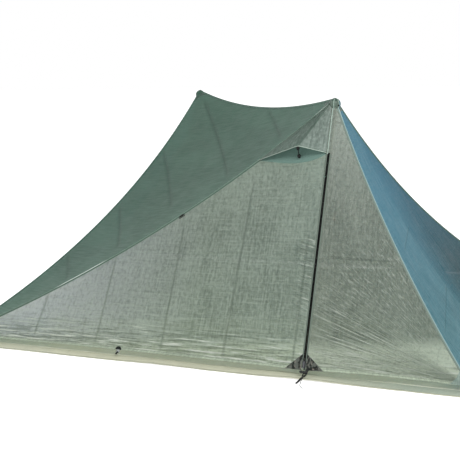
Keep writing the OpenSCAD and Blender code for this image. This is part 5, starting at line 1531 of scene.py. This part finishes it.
# Painted shade: the vent's netting is drawn almost solid (cover 1.8 fills the cells) in dark green, standing
# for the shaded opening under the hood
VENT_SHADE_NET = netting("vent_netting", paint(100, 128, 119), cover=1.8)
MESH_A = PEAK + 0.062 * np.array([-math.sin(TUB_TURN), math.cos(TUB_TURN), 0]) - np.array([0, 0, 0.096])
MESH_B = half_turn(MESH_A)
MESH_Z = 0.0996
T_FL = on_tub([-TUB_L / 2, -TUB_W / 2, MESH_Z])
T_FR = on_tub([TUB_L / 2, -TUB_W / 2, MESH_Z])
T_BR = half_turn(T_FL)
NET_ROOF_N, NET_END_N = face_normal(MESH_A, MESH_B, T_FL), face_normal(MESH_A, T_FR, T_BR)
NET_WALL_N = face_normal(MESH_A, T_FL, T_FR)
NET_RIDGE = control(MESH_A, MESH_B, 0.090, [0, 0, -1])
NET_SIDE = control(MESH_A, T_BR, 0.060, -unit(NET_END_N + half_turn(NET_ROOF_N)))
NET_EDGE = control(MESH_A, T_FR, 0.080, -unit(NET_END_N + NET_WALL_N))
NET_LEFT = (MESH_A + T_FL) / 2
K_NET_ROOF = panel("net", 0, MESH_A, MESH_B, T_FL, NET_RIDGE, half_turn(NET_SIDE), NET_LEFT, NET_ROOF_N)
K_NET_END = panel("net", 0, MESH_A, T_FR, T_BR, NET_EDGE, (T_FR + T_BR) / 2, NET_SIDE, NET_END_N)
K_NET_WALL = panel("net", 0, MESH_A, T_FL, T_FR, NET_LEFT, (T_FL + T_FR) / 2, NET_EDGE, NET_WALL_N)


def netting_part(k, corners, n=40):
    """Part of netting between three shares of the panel's corners."""
    w, faces = triangle_grid(n)
    points = on_panel(k, w @ np.asarray(corners, float)) - 0.0005 * k["n"]
    return points, facing(points, faces, k["n"]), flat_cut(k, points), 0


def netting_piece(name, parts, body, node, material=NETTING):
    """One object of netting."""
    piece = joined(name, parts, (material,), body, (node,))
    points, faces, _, _ = join_parts(parts)


def vent_net_low(k, rows=8, cols=60):
    """Lower strip of a vent's netting: from the straight line between the vent's corners down to 12 mm
    behind the door cloth's drooping edge."""
    r, t = (q.reshape(-1, 1) for q in grid(np.linspace(0, 1, rows), np.linspace(0.02, 0.98, cols)))
    points = on_panel(k, door_shares(r * (droop(t) + 0.012), t)) - (0.0005 + 0.0035 * r) * k["n"]
    return points, facing(points, grid_faces(rows, cols), k["n"]), flat_cut(k, points), 0


WHOLE = np.eye(3)
RIDGE_END, LEFT, RIGHT = WHOLE
HINGE_TOP, HINGE_LOW, FREE_LOW = np.array([[0.95, 0.03, 0.02], [0.012, 0.955, 0.033], [0.012, 0.33, 0.658]])
ASIDE = np.array([0, -0.004, 0.004])
for name, node, k, flat in (("net_roof", "mesh_roof", K_NET_ROOF, (1.9, 2.2)),
                            ("net_ends", "mesh_ends", K_NET_END, (1.9, 1.8))):
    netting_piece(name, [netting_part(q, WHOLE) for q in (k, turned(k))], "shelter", node)
for side, k in (("front", K_NET_WALL), ("rear", turned(K_NET_WALL))):
    around = [(RIDGE_END, LEFT, HINGE_LOW - ASIDE), (RIDGE_END, HINGE_LOW - ASIDE, HINGE_TOP - ASIDE),
              (RIDGE_END, FREE_LOW + ASIDE, RIGHT)]
    netting_piece("net_wall_" + side, [netting_part(k, w) for w in around], "shelter", "mesh_wall_" + side)
    netting_piece("net_door_" + side, [netting_part(k, (HINGE_TOP, HINGE_LOW, FREE_LOW), 60)],
                  "inner_door_" + side, "mesh_door_" + side)
vent_net = [netting_part(k, [W_TOP, W_VENT_SEAM, W_VENT_ZIP], 30) for k in (K_DOOR, K_DOOR_REAR)]
vent_net += [vent_net_low(k) for k in (K_DOOR, K_DOOR_REAR)]
netting_piece("vent_netting", vent_net, "shelter", "vent_mesh", VENT_SHADE_NET)

# %% Tabs that hang the netting
hanger_parts = []
for _, turn in SIDES:
    way = unit((MESH_A - PEAK) * [1, 1, 0])
    p = PEAK - np.array([0, 0, 0.054]) + (0.0079 + 0.0009) * way
    q = MESH_A + np.array([0, 0, 0.0022]) - 0.004 * way
    line = np.linspace(0, 1, 24)[:, None] * (q - p) + p
    side = unit(np.cross(q - p, [0, 0, 1]))
    up = turn(np.cross(side, unit(q - p)))
    hanger_parts.append(sweep(turn(line), oval(0.012, 0.0015, 16, 6.0), up))
piece_of("hangers", hanger_parts, (BLACK_WEB,), "shelter", ("mesh_hangers",))

# %% [markdown]
# ## Groundsheet
# A thin sheet lies under everything and is pegged at its four corners. It is almost flat: low wrinkles
# run between the pegs, and its edge is a folded hem. Inside the line of the fly's hem the sheet is
# painted paler than beyond it: painted light that makes up for the shade under the fly.

# %% Groundsheet
GROUND_L, GROUND_W, GROUND_T = 2.800, 2.170, 0.0015
EYELET_IN = 0.026


def ground_height(x, y):
    """Height of the groundsheet: low wrinkles, none under the tub, round an eyelet or round a pole."""
    c, s = math.cos(TUB_TURN), math.sin(TUB_TURN)
    tx, ty = np.abs(x * c + y * s), np.abs(-x * s + y * c)
    off_tub = smooth_step(np.maximum((tx - TUB_L / 2) / 0.06, (ty - TUB_W / 2) / 0.06) - 0.2)
    eyelet = np.hypot(np.abs(x) - (GROUND_L / 2 - EYELET_IN), np.abs(y) - (GROUND_W / 2 - EYELET_IN))
    pole = np.hypot(np.abs(x) - abs(PEAK[0]), np.abs(y) - abs(PEAK[1]))
    calm = smooth_step((eyelet - 0.03) / 0.08) * smooth_step((pole - 0.04) / 0.08)
    h = 0.0035 * np.maximum(0, ripples(x, y, 81, 1.1, 4.0))
    h = h + 0.0012 * np.maximum(0, ripples(x, y, 82, 6, 10))
    return h * off_tub * calm


def ground_points(nx, ny):
    """The sheet's grid with its wrinkles."""
    u, v = grid(np.linspace(-1, 1, nx), np.linspace(-1, 1, ny))
    x, y = u.ravel() * GROUND_L / 2, v.ravel() * GROUND_W / 2
    return np.stack([x, y, GROUND_T * 0.8 + ground_height(x, y)], 1)


def ground_hem(count):
    """Folded hem round the sheet: a flat strip 14 mm wide, rounded over the edge and tucked below."""
    loop = rounded_loop(-GROUND_L / 2, GROUND_L / 2, GROUND_W, GROUND_W, 0.004, 3)
    loop = np.vstack([loop, loop[:1]])
    run = lengths(loop)
    s = np.linspace(0, run[-1], count, endpoint=False)
    x, y = np.interp(s, run, loop[:, 0]), np.interp(s, run, loop[:, 1])
    inward = np.array([0.014, 0.0138, 0.006, 0.0010, 0.0, 0.0004, 0.004])
    rise = np.array([0.0001, 0.0006, 0.0007, 0.0005, -0.0002, -0.0007, -0.0009])
    sx, sy = 1 - inward[None] / (GROUND_L / 2), 1 - inward[None] / (GROUND_W / 2)
    px, py = x[:, None] * sx, y[:, None] * sy
    z = GROUND_T * 0.8 + ground_height(px.ravel(), py.ravel()).reshape(px.shape) + rise[None]
    uv = np.stack(np.broadcast_arrays(s[:, None], inward[None]), -1).reshape(-1, 2)
    return np.stack([px, py, np.maximum(z, THIN)], -1).reshape(-1, 3), grid_faces(count, len(inward)), uv, 1


# Painted light: GROUND_PAINTED_LIGHT, inside the fly's hem line, is far paler than the cloth beyond it
GROUND_PAINTED_LIGHT = laminate("ground_cloth", paint(246, 247, 224), paint(236, 238, 214), through=0.1, see=0.0,
                     fibre=0.45, crinkle=0.15, gloss=0.2)
# Beyond the hem line the sheet darkens and turns greener towards the right end: painted shade
GROUND_OUT = laminate("ground_edge", paint(206, 206, 184), paint(197, 198, 176), through=0.1, see=0.0,
                      fibre=0.45, crinkle=0.15, gloss=0.2,
                      painted_tones=((0, 1.0, 0.45, paint(150, 164, 151), 0.86),))
GROUND_HEM = laminate("ground_hem", paint(190, 191, 170), paint(178, 180, 159), through=0.0, see=0.0,
                      fibre=0.45, crinkle=0.15, lines=(0.011,), thread=paint(140, 144, 128), gloss=0.2)
# Where the painted light of the inner sheet stops: the fly's hem line
PAINTED_LIGHT_EDGE = (1.262, 1.004)
points = ground_points(281, 218)
faces = facing(points, grid_faces(281, 218), np.array([0, 0, 1]))
far_out = np.maximum(*(np.abs(points[faces, i]).mean(1) - PAINTED_LIGHT_EDGE[i] for i in (0, 1)))
sheet_part = (points, faces, points[:, :2], 2 * (far_out > 0))
points, faces, uv, slot_index = ground_hem(900)
hem_part = (points, facing(points, faces, np.array([0, 0, 1]), slice(None, None, 6)), uv, slot_index)
ground_cloth = joined("ground_cloth", [sheet_part, hem_part], (GROUND_PAINTED_LIGHT, GROUND_HEM, GROUND_OUT),
                      "shelter", ("groundsheet",))
print("groundsheet", len(ground_cloth.data.polygons), "faces")

# %% [markdown]
# ## Poles
# Each peak stands on an ordinary trekking pole set upside down: foam grip on the ground, clamp half-way
# up, thin section and tip at the top. The frame's own tubes are right as they are and only need
# finishes; the grip gets the grooves that a real one has.

# %% Grips
def foam(name, colour):
    """Closed-cell foam: a dull surface with fine pits."""
    material, spot = new_material(name, False)
    pits = spot.node("TexVoronoi", {"Vector": spot, "Scale": 1100.0})
    body = spot.noise(60.0, 3.0).ranged(0.35, 0.7, 0, 1).mix(colour, tinted(colour, 1.6, 0.01))
    body.skin((pits * 0.0004).bump(0.8), 0.9).finish()
    return material


def metal(name, colour, rough=0.28, scratch=0.12):
    """Drawn or anodised metal: long fine scratches along Z, and a soft change of gloss between areas."""
    material, spot = new_material(name, False)
    lines = spot.node("Mapping", {"Vector": spot, "Scale": (900, 900, 12)}).noise(1.0, 2.0)
    body = spot.noise(25.0, 3.0).ranged(0.4, 0.7, 0, 1).mix(colour, tinted(colour, 1.2, 0.02))
    rough = lines.ranged(0.3, 0.7, rough, rough + scratch)
    body.skin((lines * 0.00004).bump(0.5), rough, metallic=1.0).finish()
    return material


GRIP_FOAM = foam("grip_foam", paint(44, 45, 46))
GRIP_CAP = plastic("grip_cap", paint(30, 31, 32), 0.5)


def grip_parts(turn):
    """Grip: radius along the height is the plain profile with twelve grooves cut by a narrow cosine,
    and a flatter top cap that rests on the groundsheet."""
    z = np.linspace(0, 0.150, 240)
    plain = np.interp(z, [0, 0.004, 0.014, 0.026, 0.060, 0.090, 0.138, 0.150],
                      [0.0150, 0.0168, 0.0170, 0.0143, 0.0133, 0.0146, 0.0129, 0.0112])
    plain = np.convolve(np.pad(plain, 6, mode="edge"), np.ones(13) / 13, "valid")
    groove = 0.0009 * np.maximum(0, np.cos(2 * np.pi * (z - 0.036) / 0.0085)) ** 6
    groove = groove * smooth_step((z - 0.034) / 0.006) * smooth_step((0.136 - z) / 0.006)
    foam_line = np.stack([z, plain - groove], 1)[z >= 0.024]
    cap_line = np.stack([z, plain], 1)[z <= 0.025]
    origin = turn(np.array([0.556, -0.510, 0.0018]))
    cap = np.vstack([[0, THIN], cap_line, [0.0252, 0.012], [0.0252, THIN]])
    body = np.vstack([[0.0235, THIN], [0.0235, 0.012], foam_line, [0.150, 0.0083], [0.1496, 0.0083],
                      [0.1496, THIN]])
    return [lathe(origin, [0, 0, 1], cap, 40, 1), lathe(origin, [0, 0, 1], body, 40)]


bodies = {n: b for b, members in frame["record"]["behaviour"]["bodies"].items() for n in members}
for side, turn in SIDES:
    piece_of("grip_" + side, grip_parts(turn), (GRIP_FOAM, GRIP_CAP), bodies["pole_grip_" + side],
             ("pole_grip_" + side,))

# %% Finishes for the frame's own pieces
FINISH = {
    "zip_slider": metal("slider_metal", paint(58, 58, 60), 0.35),
    "zip_pull": metal("pull_metal", paint(96, 98, 100), 0.3),
    "groundsheet_eyelets": metal("eyelet_metal", paint(178, 180, 182), 0.25),
    "pole_wide": metal("pole_wide_metal", paint(40, 42, 46), 0.3),
    "pole_narrow": metal("pole_narrow_metal", paint(172, 176, 180), 0.22),
    "pole_clamp": plastic("clamp_plastic", paint(46, 48, 50), 0.4),
    "pole_lever": plastic("lever_plastic", paint(196, 84, 34), 0.38),
    "pole_tip": plastic("tip_plastic", paint(32, 33, 34), 0.45)}
for start, material in FINISH.items():
    for name, node in nodes.items():
        if name.startswith(start):
            if not node.material_slots:
                node.data.materials.append(None)
            for slot in node.material_slots:
                slot.material = material
            weld = node.modifiers.new("merge", "WELD")
            weld.merge_threshold = 0.00002
            bevel = node.modifiers.new("edge", "BEVEL")
            bevel.width = 0.0003
            bevel.segments = 2
            bevel.limit_method = "ANGLE"
            bevel.angle_limit = math.radians(35)
            print(name, "gets", material.name)

# %% [markdown]
# ## Light
# Even, soft light from all round, with one broad lamp that is a little stronger, shows cloth without
# hard shadows. The floor catches the shadow under the hem.

# %% Light and floor
def seen(tree):
    """1 for what the camera sees itself, in a gloss or through glass, and 0 for light on the object."""
    rays = add(tree, "LightPath").outputs
    camera_ray, glossy, through = (Wire(tree, rays[f"Is {n} Ray"])
                                   for n in ("Camera", "Glossy", "Transmission"))
    return camera_ray.math("MAXIMUM", glossy.math("MAXIMUM", through))


def studio():
    """Plain soft light: an even pale world over a pale floor that looks white but keeps its shadows."""
    world = bpy.data.worlds.new("studio")
    bpy.context.scene.world = world
    world.use_nodes = True
    tree = world.node_tree
    tree.nodes.clear()
    light = add(tree, "Background", {"Color": (1, 1, 1, 1), "Strength": seen(tree).ranged(0, 1, 0.74, 1.0)})
    tree.links.new(light.outputs[0], tree.nodes.new("ShaderNodeOutputWorld").inputs["Surface"])
    material, wire = new_material("studio_floor")
    matt = wire.node("BsdfDiffuse", {"Color": (0.85, 0.85, 0.85, 1)})
    extra = wire.node("Emission", {"Color": (1, 1, 1, 1), "Strength": seen(wire.tree) * 0.62})
    wire.node("AddShader", {0: matt, 1: extra}).finish()
    corners = np.array([[-30, -30, 0], [30, -30, 0], [30, 30, 0], [-30, 30, 0]], float)
    make_mesh("studio_floor", corners, [[0, 1, 2, 3]], None, (material,), None, False)


def lamp(name, place, aim_at, size, power):
    """A broad square lamp at place, pointing at aim_at."""
    data = bpy.data.lights.new(name, "AREA")
    data.size = size
    data.energy = power
    obj = bpy.data.objects.new(name, data)
    bpy.context.scene.collection.objects.link(obj)
    z = unit(np.array(place) - np.array(aim_at))
    x = unit(np.cross([0, 0, 1], z))
    y = np.cross(z, x)
    obj.matrix_world = Matrix([[x[i], y[i], z[i], place[i]] for i in range(3)] + [[0, 0, 0, 1]])


studio()
lamp("key", (3.4, -5.0, 4.8), (0, 0, 0.4), 1.8, 270)
lamp("fill", (-5.0, -4.0, 3.0), (0, 0, 0.5), 3.0, 30)
bpy.context.scene.view_settings.view_transform = "Standard"
print("lamps", [light.name for light in bpy.data.lights])
